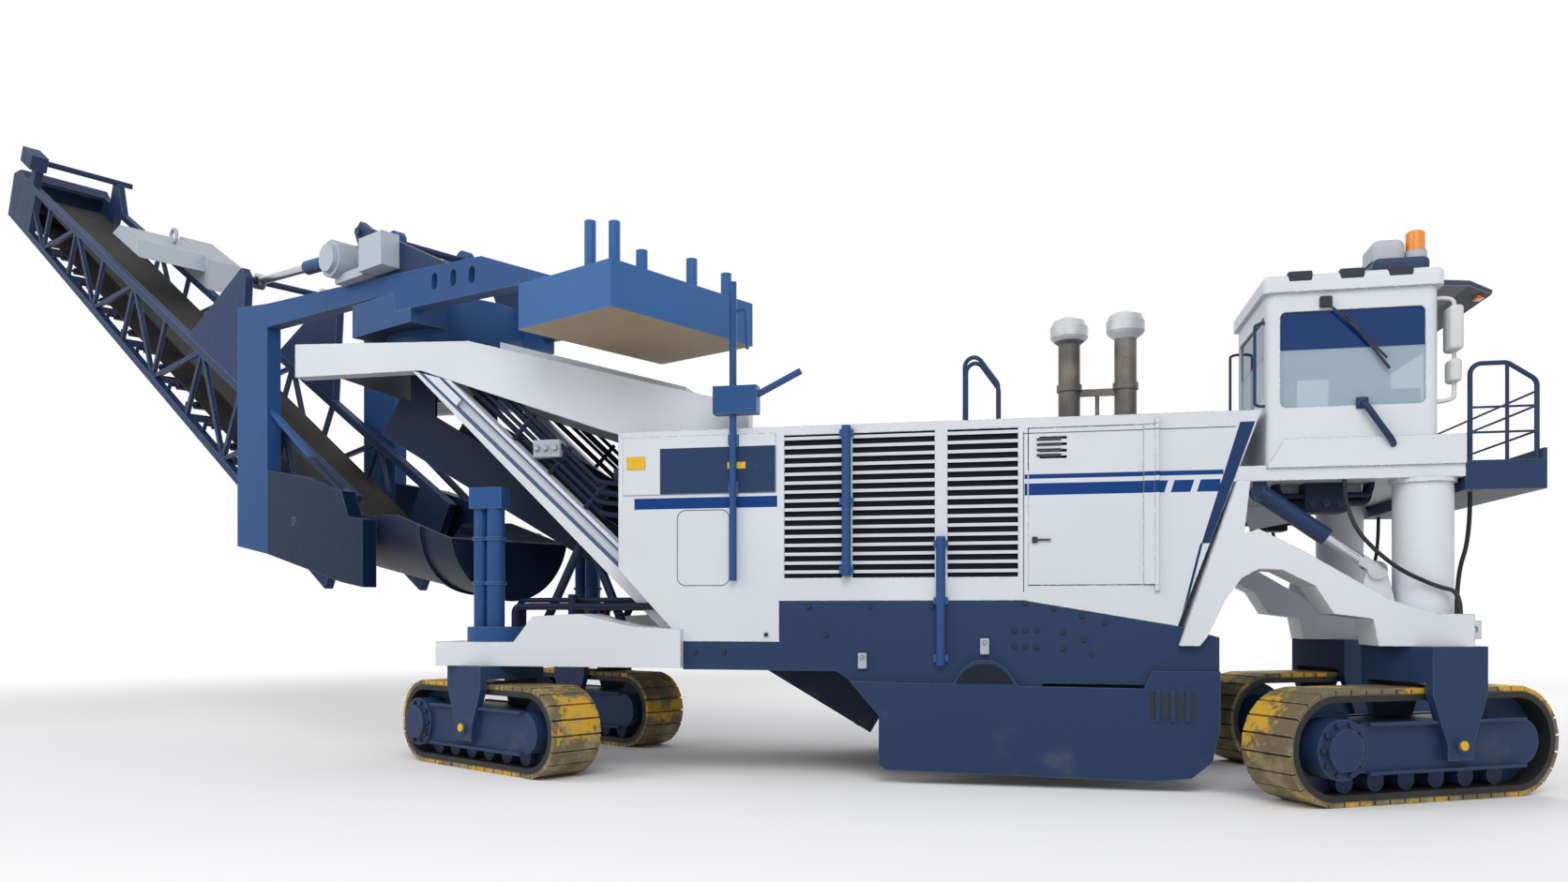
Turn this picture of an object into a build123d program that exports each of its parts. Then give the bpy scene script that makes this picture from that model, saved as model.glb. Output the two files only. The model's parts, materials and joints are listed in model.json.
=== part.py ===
"""Surface miner on four steered tracks, with a slewing discharge conveyor. Millimetres.

While it is modelled, +X points forward to the cab, +Y left, +Z up, and the zero point is on the
ground near the middle between the front and rear tracks. At the end everything is shifted so that
the origin lies at the bottom centre of the whole machine's box.
"""
import math
import os

from build123d import *

SEAT = 0.3                   # running clearance between pieces that carry each other
PIN_PLAY = 0.06              # clearance of a pin in its bore

# Running gear; lead is how far the steering axis lies ahead of the track's middle
WHEELBASE = 10470.0          # front to rear steering axis
ZERO_BEHIND = 135.0          # from the middle of the wheelbase back to the zero point
GAUGE = 3200.0               # right to left steering axis
TRACK_WIDTH = 660.0
TRACK_BAND = 70.0            # chain thickness under the shoes
SHOE_HEIGHT = 50.0
SHOE_GAP = 26.0              # slot between two shoes
SHOE_BITE = 12.0             # how deep a shoe sits in the chain
FRONT_TRACK = {"length": 3500.0, "height": 1150.0, "shoe_count": 44, "steer": 30.0, "lead": 260.0}
REAR_TRACK = {"length": 3300.0, "height": 1050.0, "shoe_count": 42, "steer": -30.0, "lead": 0.0}
WHEEL_WIDTH = 220.0          # sprocket and idler between the chain's sides
HUB_RADIUS, HUB_CAP = 300.0, 205.0
HUB_PROUD, CAP_PROUD = 45.0, 100.0
FRAME_BOX_HEIGHT = 480.0
FRAME_PROUD = 34.0           # the track frame stands out of the chain on both sides
ROLLER_RADIUS = 105.0
ROLLER_COUNT = 6
CHEEK = 90.0                 # fork cheek plate
FORK_LENGTH_TOP = 720.0
FORK_LENGTH_PIN = 330.0
FORK_SHOULDER = 120.0        # the cheeks start to taper this far under the bridge
FORK_TOE = 150.0             # the cheeks end this far under the pin
FORK_ABOVE_TRACK = 60.0      # room between chain top and fork bridge
PIN_RADIUS, PIN_PROUD = 70.0, 30.0
SPINDLE_RADIUS = 250.0       # the steering spindle under the arm

FRONT_PIVOT = WHEELBASE / 2 + ZERO_BEHIND
REAR_PIVOT = ZERO_BEHIND - WHEELBASE / 2

# Chassis; the frame's nose keeps clear of the steered front tracks
TRACK_CLEAR = 30.0
FRAME_FRONT = FRONT_PIVOT - FRONT_TRACK["lead"] - FRONT_TRACK["length"] / 2 - TRACK_CLEAR
HALF_WIDTH = 1850.0          # hood, main frame and cab deck
HOOD_TOP = 4050.0
HOOD_WALL = 60.0
DECK_TOP = 2050.0            # top of the main frame, where the hood stands
FRAME_LOW = 1250.0           # underside of the rear part of the main frame
DRUM_FRAME_LOW = 1140.0      # underside of the main frame over the drum
REAR_SILL_TOP = 1580.0       # the hood comes down to here behind the main frame
HOOD_REAR = REAR_PIVOT + 2500.0
TOWER_REAR = REAR_PIVOT + 1700.0     # the upper hood reaches further back and carries the boom
TOWER_LOW = 2430.0
BAND_REAR = -1450.0          # rear end of the tall part of the main frame
BAND_BEND = 1290.0           # here the seam between hood and frame turns down
HOOD_FRONT_TOP = FRAME_FRONT + 420.0
HOOD_FRONT_LOW = FRAME_FRONT - 420.0
SEAM_FRONT = 1770.0          # seam height at the front
FRAME_NOSE = 1650.0

# Cutter drum
DRUM_X, DRUM_Z = 880.0, 1020.0
DRUM_RADIUS = 640.0
DRUM_LENGTH = 3480.0
PICK_LENGTH = 130.0
PICK_ROOT = 20.0             # how deep a pick sits in the drum
PICK_RADIUS = 38.0
PICK_TIP_RADIUS = 12.0
PICK_STARTS_COUNT, PICKS_COUNT = 4, 16       # rows that wind in from each end, and picks in a row
PICK_TURN = 260.0            # degrees that a row winds from the drum's end to its middle
DRUM_CAVITY_RADIUS = 850.0
DRUM_CAVITY_HALF = 1780.0
SHAFT_RADIUS = 120.0
BEARING_CHEEK = (620.0, 420.0)       # half lengths of the frame's bearing cheek, top and bottom
PLATE_THICK = 70.0
PLATE_REAR = [  # side plate, from its rear top corner along its rear edge down: x, z
    (-620.0, 1140.0), (-290.0, 760.0), (-290.0, 220.0), (-220.0, 150.0)]
PLATE_FRONT = [  # and on along its lower edge and nose: x behind the frame's front, z
    (680.0, 110.0), (290.0, 150.0), (80.0, 330.0), (0.0, 700.0), (0.0, 1290.0), (690.0, 1290.0),
    (770.0, 1100.0)]
PLATE_RECESS = [  # and back over the drum shaft's recess: x from the shaft, z from the shaft
    (360.0, 90.0), (240.0, 280.0), (100.0, 370.0), (-100.0, 370.0), (-240.0, 280.0), (-340.0, 110.0)]

# Hood openings, the same on both sides
GRILLE_LOW, GRILLE_TOP = 2310.0, 3950.0
GRILLES = [(-1390.0, -720.0), (-600.0, 330.0), (470.0, 1240.0)]   # rear and front edge of each panel
GRILLE_BACK = 12.0
SLAT_PITCH = 102.0
SLAT_HEIGHT = 36.0
SLAT_SUNK = 4.0              # slats lie this far behind the hood's face
DOOR_X = (1345.0, HOOD_FRONT_LOW - 210.0)
DOOR_Z = (2210.0, 3940.0)
DOOR_GAP = 8.0
DOOR_LEAF = 140.0            # hinge leaf on a door
HINGE_RADIUS = 24.0
HINGE_PIN = 12.0
HINGE_LUG = 60.0
HINGE_OUT = HINGE_RADIUS + SEAT      # from a door's outer face to its hinge axis
VENT = {"rear": 125.0, "front": 415.0, "low": 3600.0, "pitch": 70.0, "slot": 30.0, "slot_count": 4}
REAR_PANEL = {"low": 3300.0, "top": 3980.0, "front": -1490.0, "proud": 12.0, "edge": 60.0}
LIDS = [(-1300.0, 300.0), (450.0, 1500.0)]   # raised lids on the hood: rear and front edge
LID_HALF, LID_HEIGHT = 1250.0, 70.0
ENGINE = {"rear": -1150.0, "front": 1250.0, "half": 900.0, "top": 3480.0}

# Exhaust stacks on the hood
STACKS = [(1910.0, 5240.0), (1250.0, 5280.0)]     # x behind the hood's front edge, and the cap's underside
STACK_Y = -300.0
STACK_PROFILE = [  # radius, height above the hood
    (0.0, 0.0), (175.0, 0.0), (175.0, 40.0), (130.0, 40.0), (130.0, 560.0), (150.0, 560.0), (150.0, 640.0),
    (130.0, 640.0)]
CAP_PROFILE = [  # radius, height above the cap's underside
    (130.0, -60.0), (205.0, 0.0), (225.0, 30.0), (225.0, 150.0), (190.0, 225.0), (110.0, 262.0),
    (0.0, 270.0)]
STACK_TIE = {"z": 500.0, "height": 80.0, "half": 30.0, "strut": 25.0}

# Front arms; outline points are x from the steering axis, z
ARM_HALF = (1250.0, 1950.0)          # inner and outer side of the arms, from the centre line
ARM_END_LOW, ARM_END_TOP = 1570.0, 1900.0
FRONT_ARM_REACH = 370.0              # from the steering axis to the arm's end
FRONT_ARM_END = FRONT_PIVOT + FRONT_ARM_REACH
ARM_UNDERSIDE = [(-2455.0, 1560.0), (-2250.0, 1560.0), (-2180.0, 1650.0), (-2000.0, 2050.0),
                 (-1830.0, 2280.0),
                 (-1670.0, 2370.0), (-1440.0, 2360.0), (-1120.0, 2190.0), (-940.0, 1900.0), (-570.0, 1850.0),
                 (-520.0, ARM_END_LOW), (FRONT_ARM_REACH, ARM_END_LOW)]
ARM_TOPSIDE = [(FRONT_ARM_REACH, ARM_END_TOP), (40.0, ARM_END_TOP), (-400.0, 2040.0), (-760.0, 2260.0),
               (-1210.0, 2540.0), (-1670.0, 2790.0), (-1810.0, 2740.0), (-1750.0, 3300.0), (-1878.0, 3300.0)]
FRONT_LUG_Z, REAR_LUG_Z = 1735.0, 1415.0
LUG_LENGTH, LUG_HEIGHT, LUG_THICK = 170.0, 190.0, 70.0
LUG_HOLE, LUG_HOLE_AT = 45.0, 95.0   # hole radius, and its distance from the arm's end
COLUMN_RADIUS = 285.0
COLUMN_FLANGE, FLANGE_THICK = 30.0, 45.0

# Lift cylinders between the cab deck and the front arms: x from the steering axis, z
LIFT_HANGER = (-1610.0, 3190.0)
LIFT_EYE = (-480.0, 2355.0)
GLAND_SHARE = 0.58           # of the way from hanger to eye, where the barrel ends
LIFT_Y = 1700.0
LIFT_BARREL, LIFT_ROD, LIFT_PIN = 95.0, 55.0, 42.0
LIFT_CHEEK, LIFT_LUG = 45.0, 80.0    # clevis cheek, and the lug between the cheeks
LIFT_EYE_RADIUS = 95.0
LIFT_HANGER_HALF = (60.0, 70.0)

# Hoses from the deck and the platform down to the arms: x from the steering axis, y, z
HOSE_RADIUS, HOSE_BEND = 22.0, 180.0
HOSE_ROUTES = [
    [(460.0, 1560.0, 3160.0), (460.0, 1560.0, 2700.0), (335.0, 1560.0, 2300.0), (335.0, 1560.0, 1900.0)],
    [(-810.0, 1820.0, 3300.0), (-810.0, 1820.0, 2900.0), (-420.0, 1945.0, 2400.0), (30.0, 1945.0, 2170.0),
     (250.0, 1915.0, 2130.0), (250.0, 1915.0, 1900.0)]]

# Cab deck, cab and platform; x from the front steering axis where a name ends in _AHEAD
CAB_DECK = (3300.0, 3460.0)          # underside and top of the deck
DECK_AHEAD = 320.0
PLATFORM_AHEAD = 1060.0
CAB_GAP, CAB_AHEAD = 50.0, 80.0     # behind the cab to the hood's top edge, and ahead of the axis
CAB_DECK_FRONT = FRONT_PIVOT + DECK_AHEAD
PLATFORM_FRONT = FRONT_PIVOT + PLATFORM_AHEAD
CAB_X = (HOOD_FRONT_TOP + CAB_GAP, FRONT_PIVOT + CAB_AHEAD)
CAB_Y = (-HALF_WIDTH, -150.0)
CAB_TOP = 5450.0
CAB_WALL = 60.0
CAB_CORNER = 90.0
EAVE = {"proud": 45.0, "depth": 190.0, "round": 70.0}
VISOR_LINE = [(0.0, -120.0), (300.0, -150.0), (510.0, -260.0), (500.0, -305.0), (290.0, -205.0),
              (0.0, -185.0)]
VISOR_INSET = 60.0
WINDOW_Z = (4060.0, 5060.0)
WINDOW_POST = 130.0
WINDOW_ROUND = 60.0
FRONT_WINDOW_DROP, REAR_WINDOW_RISE = 300.0, 120.0
GLASS = 14.0
CAB_DOOR_X = (CAB_X[0] + 250.0, CAB_X[0] + 1160.0)
CAB_DOOR_Z = (3560.0, 5130.0)
CAB_DOOR_LEAF = 120.0
FASCIA = {"proud": 30.0, "low": 3430.0, "top": 3730.0, "rear_ahead": -1400.0, "cut": 180.0}
DECK_WEB = [(-1330.0, 3300.0), (-480.0, 3300.0), (-480.0, 3120.0), (-1180.0, 2990.0)]    # x from the axis, z
DECK_WEB_HALF = (1150.0, 1190.0)
PLATFORM_THICK = 300.0
PLATFORM_LIP = {"height": 110.0, "thick": 30.0}

# Inside the cab
SEAT_AT = (CAB_X[0] + 650.0, -1000.0)        # x and y of the seat
SEAT_BLOCKS = [  # pedestal, cushion and backrest: rear, front, half width, low, top
    (-220.0, 180.0, 200.0, 0.0, 330.0), (-280.0, 260.0, 270.0, 330.0, 480.0),
    (-330.0, -190.0, 260.0, 480.0, 1150.0)]
CONSOLE = {"rear": 320.0, "lip": 390.0, "front": 70.0, "right": -1500.0, "left": -500.0, "shelf": 620.0,
           "top": 760.0}             # rear, lip and front are measured back from the cab's front

# On the roof; x is measured back from the cab's front
ROOF_BASE = {"rear": 570.0, "front": 30.0, "right": -1700.0, "left": -700.0, "height": 170.0, "round": 60.0}
COOLER = {"rear": 560.0, "front": 230.0, "right": -1600.0, "left": -1150.0, "low": 170.0, "top": 400.0,
          "round": 90.0}
BEACON = {"back": 120.0, "y": -1500.0, "foot": 110.0, "foot_top": 260.0, "radius": 95.0, "top": 480.0,
          "round": 40.0}

# Handrails of bent tube
RAIL_RADIUS, POST_RADIUS, BAR_RADIUS = 24.0, 18.0, 12.0    # bent rails, straight posts, and bars between
RAIL_BEND = 110.0
RAIL_TOP, RAIL_NOSE = 990.0, 800.0           # rail height beside the platform, and at its front
RAIL_BARS = (0.36, 0.68)                     # straight rails, as shares of the height at the front
RAIL_INSET = 60.0
RAIL_STATIONS = (60.0, 400.0, 670.0)         # posts along the platform, from the deck's front
WALK_RAIL = (-1470.0, 150.0)                 # walkway rail, from the front steering axis
WALK_POSTS = (-930.0, -390.0)
# rail on the hood: x, height
HOOP = [(650.0, 0.0), (650.0, 740.0), (800.0, 740.0), (1020.0, 430.0), (1020.0, 0.0)]
HOOP_Y = (-1640.0, -1330.0)
HOOP_RUNG = 330.0

# Rear arms; outline points are x from the steering axis, z
REAR_ARM_REACH = -620.0
REAR_ARM_END = REAR_PIVOT + REAR_ARM_REACH
REAR_ARM_LOW, REAR_ARM_TOP = 1270.0, 1560.0
REAR_ARM_TOPSIDE = [(1910.0, 1750.0), (1250.0, 1900.0), (650.0, 1870.0), (400.0, REAR_ARM_TOP)]
REAR_ARM_ROOT = 1720.0
REAR_COLUMN_TOP = 3460.0
REAR_COLUMNS = [  # x from the steering axis, radius, and how far the top stays under the column top
    (0.0, 110.0, 0.0), (-205.0, 80.0, 120.0)]
COLUMN_FOOT = {"radius": 340.0, "height": 180.0}
COLUMN_HEAD = {"rear": -300.0, "front": 130.0, "half": 120.0, "depth": 260.0}
COLUMN_RINGS = (700.0, 1250.0)               # flange rings above the arm
RING_PROUD, RING_HIGH = 22.0, 40.0

# Slewing axis, and the boom over the rear that carries it; beam points are x from the axis or the hood, z
SLEW_X = REAR_PIVOT - 1400.0
SLEW_PARKED = -27.0
BEAM_HALF = (1280.0, 1500.0)
BEAM_REAR = SLEW_X - 1480.0
BEAM_FRONT = TOWER_REAR + 1500.0
BEAM_LOW = 4980.0
BEAM_KNEE = (310.0, 4990.0)          # lower edge, from the axis
BEAM_HEEL = (-370.0, 4160.0)         # lower edge, from the hood's rear
BEAM_BEND = (980.0, 5330.0)          # upper edge, from the axis
BEAM_TOE = 4380.0                    # height of the upper edge at the front
STRUT_TOP = [(200.0, 4990.0), (730.0, 4846.0)]
STRUT_FOOT = (1980.0, 1440.0)        # upper and lower corner at the hood
STRUT_BACK = 100.0
STRUT_POCKET = {"depth": 60.0, "rim": 70.0}
COVER = {"rear": 1300.0, "front": -940.0, "proud": (106.0, 75.0), "thick": 40.0, "skirt": 190.0}
RING_RADIUS = 1000.0
RING_SEAT, RING_TOP = 5410.0, 5500.0
RING_DECK = 260.0                    # from the beams' top to the deck's underside
RING_PLATE = 60.0
RING_APRON = 1150.0
KINGPIN_RADIUS = 200.0

# Primary conveyor from the drum up to the slewing axis
PRIMARY_TAIL = (-420.0, 640.0)       # x and z of the tail pulley
PRIMARY_HEAD = (SLEW_X - 500.0, 4480.0)
PRIMARY_HALF = 900.0
PRIMARY_WALL, PRIMARY_FLOOR = 60.0, 90.0
PRIMARY_DEPTH = 420.0
PRIMARY_RAISE = 160.0                # the side walls rise above the belt
SKIRT = {"from": 4400.0, "to": 6250.0, "height": 340.0}      # boards on the walls, along the conveyor
PRIMARY_PULLEY = 190.0
PULLEY_CORE, PULLEY_LIFT = 120.0, 60.0
BELT = 24.0
BELT_EDGE = 40.0                     # from the belt's edge to the side wall
BELT_END = 120.0
HANGER_HALF = 180.0                  # the plates that hang the conveyor under the slewing deck
TRUNNION_AT, TRUNNION_RADIUS = 1500.0, 50.0   # cross tube in the main frame, along the conveyor
TUNNEL_HALF = 1060.0
TUNNEL_DEPTH = 1150.0
TUNNEL_BACK = 600.0

# Service mast at the rear corner of the hood, and the pipes down its right side
MAST = {"x": HOOD_REAR + 620.0, "y": -1910.0, "low": 2280.0, "top": 5730.0, "radius": 42.0}
MAST_CLAMPS = (3360.0, 3910.0)
CLAMP_HALF = 60.0
MAST_HEAD = {"rear": -220.0, "front": 300.0, "half": 90.0, "low": 4200.0, "top": 4520.0}
MAST_LEVER = {"from": (250.0, 4400.0), "to": (800.0, 4670.0), "radius": 38.0}
MAST_HOOK = [(0.0, 5380.0), (150.0, 5430.0), (170.0, 4950.0)]
PIPES = [(-660.0, 2320.0, 4030.0), (400.0, 1330.0, 2760.0)]      # x, low and top end
PIPE_RADIUS, PIPE_CLIP = 52.0, 80.0

# Slewing unit, modelled straight back and then turned; reach is the distance behind the slewing axis
PORTAL_HALF = (960.0, 1170.0)
TURNTABLE_TOP = 6100.0
TURNTABLE_HALF = 700.0
TURNTABLE_INSET, TURNTABLE_RISE = 60.0, 160.0
KINGPIN_DROP, KINGPIN_RISE = 250.0, 60.0
COUNTERWEIGHT = {"near": 2900.0, "far": 4500.0, "low": 5200.0, "top": 5720.0, "half": 1170.0, "round": 25.0}
BEAM_ON_WEIGHT, BEAM_TIP = 520.0, 30.0       # how far the top beams lie on the counterweight, and their tip
PORTAL_LINE = [  # reach, z; from the rear top corner over the beam's top, then back underneath
    (4050.0, 6650.0), (3100.0, 6550.0), (-300.0, 6340.0), (-2200.0, 6200.0)]
PORTAL_UNDER = [(-2040.0, 5770.0), (-330.0, 5850.0), (-300.0, TURNTABLE_TOP), (3100.0, 6200.0),
                (3100.0, 4050.0), (1900.0, 3850.0), (1000.0, 3600.0), (800.0, 3230.0), (450.0, 3180.0),
                (450.0, 2260.0), (1000.0, 2340.0), (3100.0, 2800.0), (4050.0, 2950.0)]
PORTAL_HOLES = [(-1230.0, 6075.0), (-1630.0, 6045.0), (-2010.0, 6010.0)]
PORTAL_HOLE = (220.0, 130.0)                 # height and width of the oblong holes
PORTAL_BRACE = {"from": (3150.0, 4950.0), "to": (1080.0, 3550.0), "radius": 55.0}
STUBS = [  # posts on the counterweight: reach, y, height
    (-3950.0, -980.0, 560.0), (-4150.0, -800.0, 560.0), (-4400.0, -620.0, 230.0), (-4400.0, 180.0, 330.0),
    (-4400.0, 780.0, 300.0)]
STUB_RADIUS = 65.0
TUB = {"front": -1250.0, "rear": 1150.0, "radius": 958.0, "wall": 45.0, "axis_front": 3040.0, "slope": 0.175,
       "low": 1900.0}
TUB_TOP = [(-1250.0, 2860.0), (0.0, 3230.0), (1150.0, 3270.0)]   # reach, z
# its rear edge slants under the conveyor's tail
TUB_REAR = [(1480.0, 2720.0), (1700.0, 2300.0)]
TUB_RIBS = (-650.0, 330.0)
RIB = {"proud": 45.0, "width": 70.0}
TUB_RIM = {"rear": 1150.0, "front": 470.0, "low": 3080.0, "inset": 110.0}

# Discharge conveyor
LUFF_REACH, LUFF_Z = 2300.0, 3250.0  # pivot behind the slewing axis, and its height
LUFF_ANGLE = 31.5
TRUSS_TAIL = -750.0                  # measured along the conveyor from the pivot
TRUSS_LENGTH = 14700.0               # from the pivot to the head
TRUSS_HALF = 850.0
TRUSS_LOW, TRUSS_HIGH = -620.0, 760.0
TRUSS_HEAD_LOW, TRUSS_HEAD_HIGH = -480.0, 430.0
CHORD = 130.0
LACING = 70.0
CROSS_TUBE = 100.0
PANEL_COUNT = 9
END_PLATE = 820.0                    # closed side plates that hold the pulleys
PIVOT_RADIUS = 60.0
BELT_HALF = 640.0
CONVEYOR_PULLEY = 230.0
BELT_LINE = 180.0                    # top of the pulleys above the conveyor's axis
PULLEY_INSET = 60.0                  # from the truss's ends to the pulleys
# beyond the head, above the head's lower edge
CHUTE_OUTER = [(620.0, -65.0), (700.0, 850.0), (300.0, 1060.0)]
CHUTE_INNER = [(560.0, -65.0), (640.0, 830.0), (280.0, 1000.0)]
CHUTE_EDGE, CHUTE_WALL = 65.0, 60.0
HEAD_FRAME = {"at": -450.0, "height": 1000.0, "tube": 60.0, "near": -1000.0, "far": 1050.0}
HEAD_BLOCK = {"rear": -720.0, "front": -80.0, "low": 850.0, "top": 1160.0, "near": -1010.0, "far": -690.0}
HEAD_NECK = (-560.0, -330.0)
HEAD_GUSSET = [(-1250.0, 430.0), (-350.0, 430.0), (-300.0, 1000.0), (-600.0, 1000.0)]
DRIVE = {"rear": 8700.0, "front": 10700.0, "near": -500.0, "far": 1350.0, "rise": 520.0, "slope": 260.0}
DRIVE_RING = {"at": 9700.0, "y": 300.0, "radius": 130.0, "tube": 35.0}
MAST_FOOT = (3200.0, 5400.0)         # along the conveyor
MAST_BEAK = [(-250.0, 60.0), (0.0, 160.0), (130.0, 0.0)]     # around the rod pin

# Luffing cylinders
LUFF_GANTRY = (600.0, 7100.0)        # barrel pin, behind the slewing axis, and its height
LUFF_EYE = (4600.0, 7300.0)          # rod pin
LUFF_SPREAD = 560.0                  # each cylinder from the centre line
BARREL_RADIUS, ROD_RADIUS = 105.0, 62.0
BARREL_LENGTH = 2450.0
BARREL_START, BARREL_BORE = 120.0, 420.0     # from the barrel pin to the barrel, and to its bore
BARREL_EYE, BARREL_EYE_WIDTH = 150.0, 130.0
ROD_HIDDEN = 900.0                   # from the barrel pin to the piston end
ROD_SHORT = 90.0                     # the rod ends this far before its pin
LUFF_PIN = 50.0
EYE_ROOM = 26.0                      # the rod's eye is wider than its pin
ROD_EYE_RIM, ROD_EYE_WIDTH = 50.0, 120.0
GANTRY_INSET = 60.0
GANTRY_CAP = [(160.0, 40.0), (0.0, 150.0), (-160.0, 40.0)]   # around the barrel pin
GANTRY_FOOT, GANTRY_FOOT_Z = (300.0, -1600.0), 6200.0
WINCH = {"reach": 850.0, "z": 6720.0, "radius": 250.0, "out": 300.0, "cap": 190.0, "cap_out": 60.0}
WINCH_BOX = {"near": -350.0, "far": 200.0, "low": 6420.0, "top": 6860.0, "out": 260.0}
WINCH_STEP = {"near": 200.0, "far": 900.0, "low": 6400.0, "top": 6520.0, "out": 200.0}

parts = {}


# Small builders

def block(low, high):
    """Box between two corners."""
    size = [h - l for l, h in zip(low, high)]
    return Pos(*low) * Box(*size, align=(Align.MIN, Align.MIN, Align.MIN))


def slab(outline, low, high):
    """Side outline of (x, z) points, as thick as from y = low to y = high."""
    plane = Plane((0, high, 0), (1, 0, 0), (0, -1, 0))
    return extrude(plane * make_face(Polyline(*outline, close=True)), high - low)


def rod(start, end, radius):
    """Round bar between two points."""
    axis = Vector(*end) - Vector(*start)
    return Part(Solid.make_cylinder(radius, axis.length, Plane(start, z_dir=axis)).wrapped)


def cross_rod(x, z, low, high, radius):
    """Round bar along y."""
    return rod((x, low, z), (x, high, z), radius)


def bar(start, end, width, depth):
    """Square-edged bar between two points that lie in one y plane, width along y."""
    axis = Vector(*end) - Vector(*start)
    plane = Plane(start, x_dir=(0, 1, 0), z_dir=axis)
    return extrude(plane * Rectangle(width, depth), axis.length)


def tube(points, radius, bend):
    """Bent round bar through the points."""
    start = Plane(points[0], z_dir=Vector(*points[1]) - Vector(*points[0]))
    return sweep(start * Circle(radius), path=FilletPolyline(*points, radius=bend))


def turned(profile, x, y, base):
    """Round piece about an upright axis, from (radius, height) points that begin and end on the axis."""
    face = make_face(Plane.XZ * Polyline(*profile, close=True))
    return Pos(x, y, base) * revolve(face, Axis.Z)


def rounded(low, high, radius):
    """Box with all its edges but the lower ones rounded."""
    box = block(low, high)
    edges = box.edges().filter_by(lambda e: e.center().Z > low[2] + SEAT)
    return fillet(edges, radius)


def group(pieces):
    """Like pieces of one node, as solids that don't touch."""
    return Compound([solid for piece in pieces for solid in piece.solids()])


def both_sides(piece):
    """A piece of the left side and its mirror image."""
    return group([piece, mirror(piece, Plane.XZ)])


def fuse(pieces):
    """All the pieces as one solid."""
    first, *rest = pieces
    return first.fuse(*rest).clean() if rest else first


def outward(side, inner, outer):
    """The y range from inner to outer on the left side (1) or the right side (-1)."""
    return sorted((side * inner, side * outer))


# Tracks

def racetrack(length, height):
    """Flat outline of a track: two round ends and two straight runs, standing on z = 0."""
    radius = height / 2
    return Pos(0, radius) * SlotOverall(length, height)


def track_stations(length, height, count, shoe_length):
    """Place and angle of each shoe on the outline; on the round ends its corners touch the outline."""
    radius = height / 2
    run = length - height
    bend = math.pi * radius
    reach = math.sqrt(radius ** 2 - (shoe_length / 2) ** 2)
    for k in range(count):
        s = 2 * (run + bend) * k / count
        if s < run:
            yield -run / 2 + s, 0.0, 0.0
        elif s < run + bend:
            a = (s - run) / radius
            yield run / 2 + reach * math.sin(a), radius - reach * math.cos(a), math.degrees(a)
        elif s < 2 * run + bend:
            yield run / 2 - (s - run - bend), height, 180.0
        else:
            a = (s - 2 * run - bend) / radius + math.pi
            yield -run / 2 + reach * math.sin(a), radius - reach * math.cos(a), math.degrees(a)


def track_loop(size):
    """Chain band with its shoes standing out all round, extruded over the track's width."""
    length, height, count = size["length"], size["height"], size["shoe_count"]
    low = SHOE_HEIGHT
    band = Pos(0, low) * racetrack(length - 2 * low, height - 2 * low)
    inside = low + TRACK_BAND
    hole = Pos(0, inside) * racetrack(length - 2 * inside, height - 2 * inside)
    girth = 2 * (length - height) + math.pi * height
    shoe_length = girth / count - SHOE_GAP
    shoe = Pos(0, (SHOE_HEIGHT + SHOE_BITE) / 2) * Rectangle(shoe_length, SHOE_HEIGHT + SHOE_BITE)
    stations = track_stations(length, height, count, shoe_length)
    shoes = [Pos(x, z) * Rot(0, 0, a) * shoe for x, z, a in stations]
    outline = band.fuse(*shoes) - hole
    plane = Plane((0, TRACK_WIDTH / 2, 0), (1, 0, 0), (0, -1, 0))
    return extrude(plane * outline.faces()[0], TRACK_WIDTH)


def track_frame(size):
    """Box frame inside the chain, with the drive and idler wheels, the rollers under it and the hub."""
    length, height = size["length"], size["height"]
    half = TRACK_WIDTH / 2 + FRAME_PROUD
    inside = SHOE_HEIGHT + TRACK_BAND
    wheel_radius = height / 2 - inside - SEAT
    wheel_x = (length - height) / 2
    middle = height / 2
    frame_low = middle - FRAME_BOX_HEIGHT / 2
    pieces = [block((-wheel_x, -half, frame_low), (wheel_x, half, frame_low + FRAME_BOX_HEIGHT))]
    for x in (-wheel_x, wheel_x):
        pieces.append(cross_rod(x, middle, -WHEEL_WIDTH / 2, WHEEL_WIDTH / 2, wheel_radius))
    pieces.append(cross_rod(wheel_x, middle, -half, half, FRAME_BOX_HEIGHT / 2))
    for radius, proud in ((HUB_RADIUS, HUB_PROUD), (HUB_CAP, CAP_PROUD)):
        pieces.append(cross_rod(-wheel_x, middle, -half - proud, half + proud, radius))
    roller_z = inside + SEAT + ROLLER_RADIUS
    pitch = (length - height) / ROLLER_COUNT
    for k in range(ROLLER_COUNT):
        x = pitch * (k - (ROLLER_COUNT - 1) / 2)
        pieces.append(cross_rod(x, roller_z, -WHEEL_WIDTH, WHEEL_WIDTH, ROLLER_RADIUS))
        pieces.append(block((x - ROLLER_RADIUS / 2, -WHEEL_WIDTH, roller_z),
                            (x + ROLLER_RADIUS / 2, WHEEL_WIDTH, middle)))
    return fuse(pieces) - cross_rod(size["lead"], middle, -half, half, PIN_RADIUS + SEAT)


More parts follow.
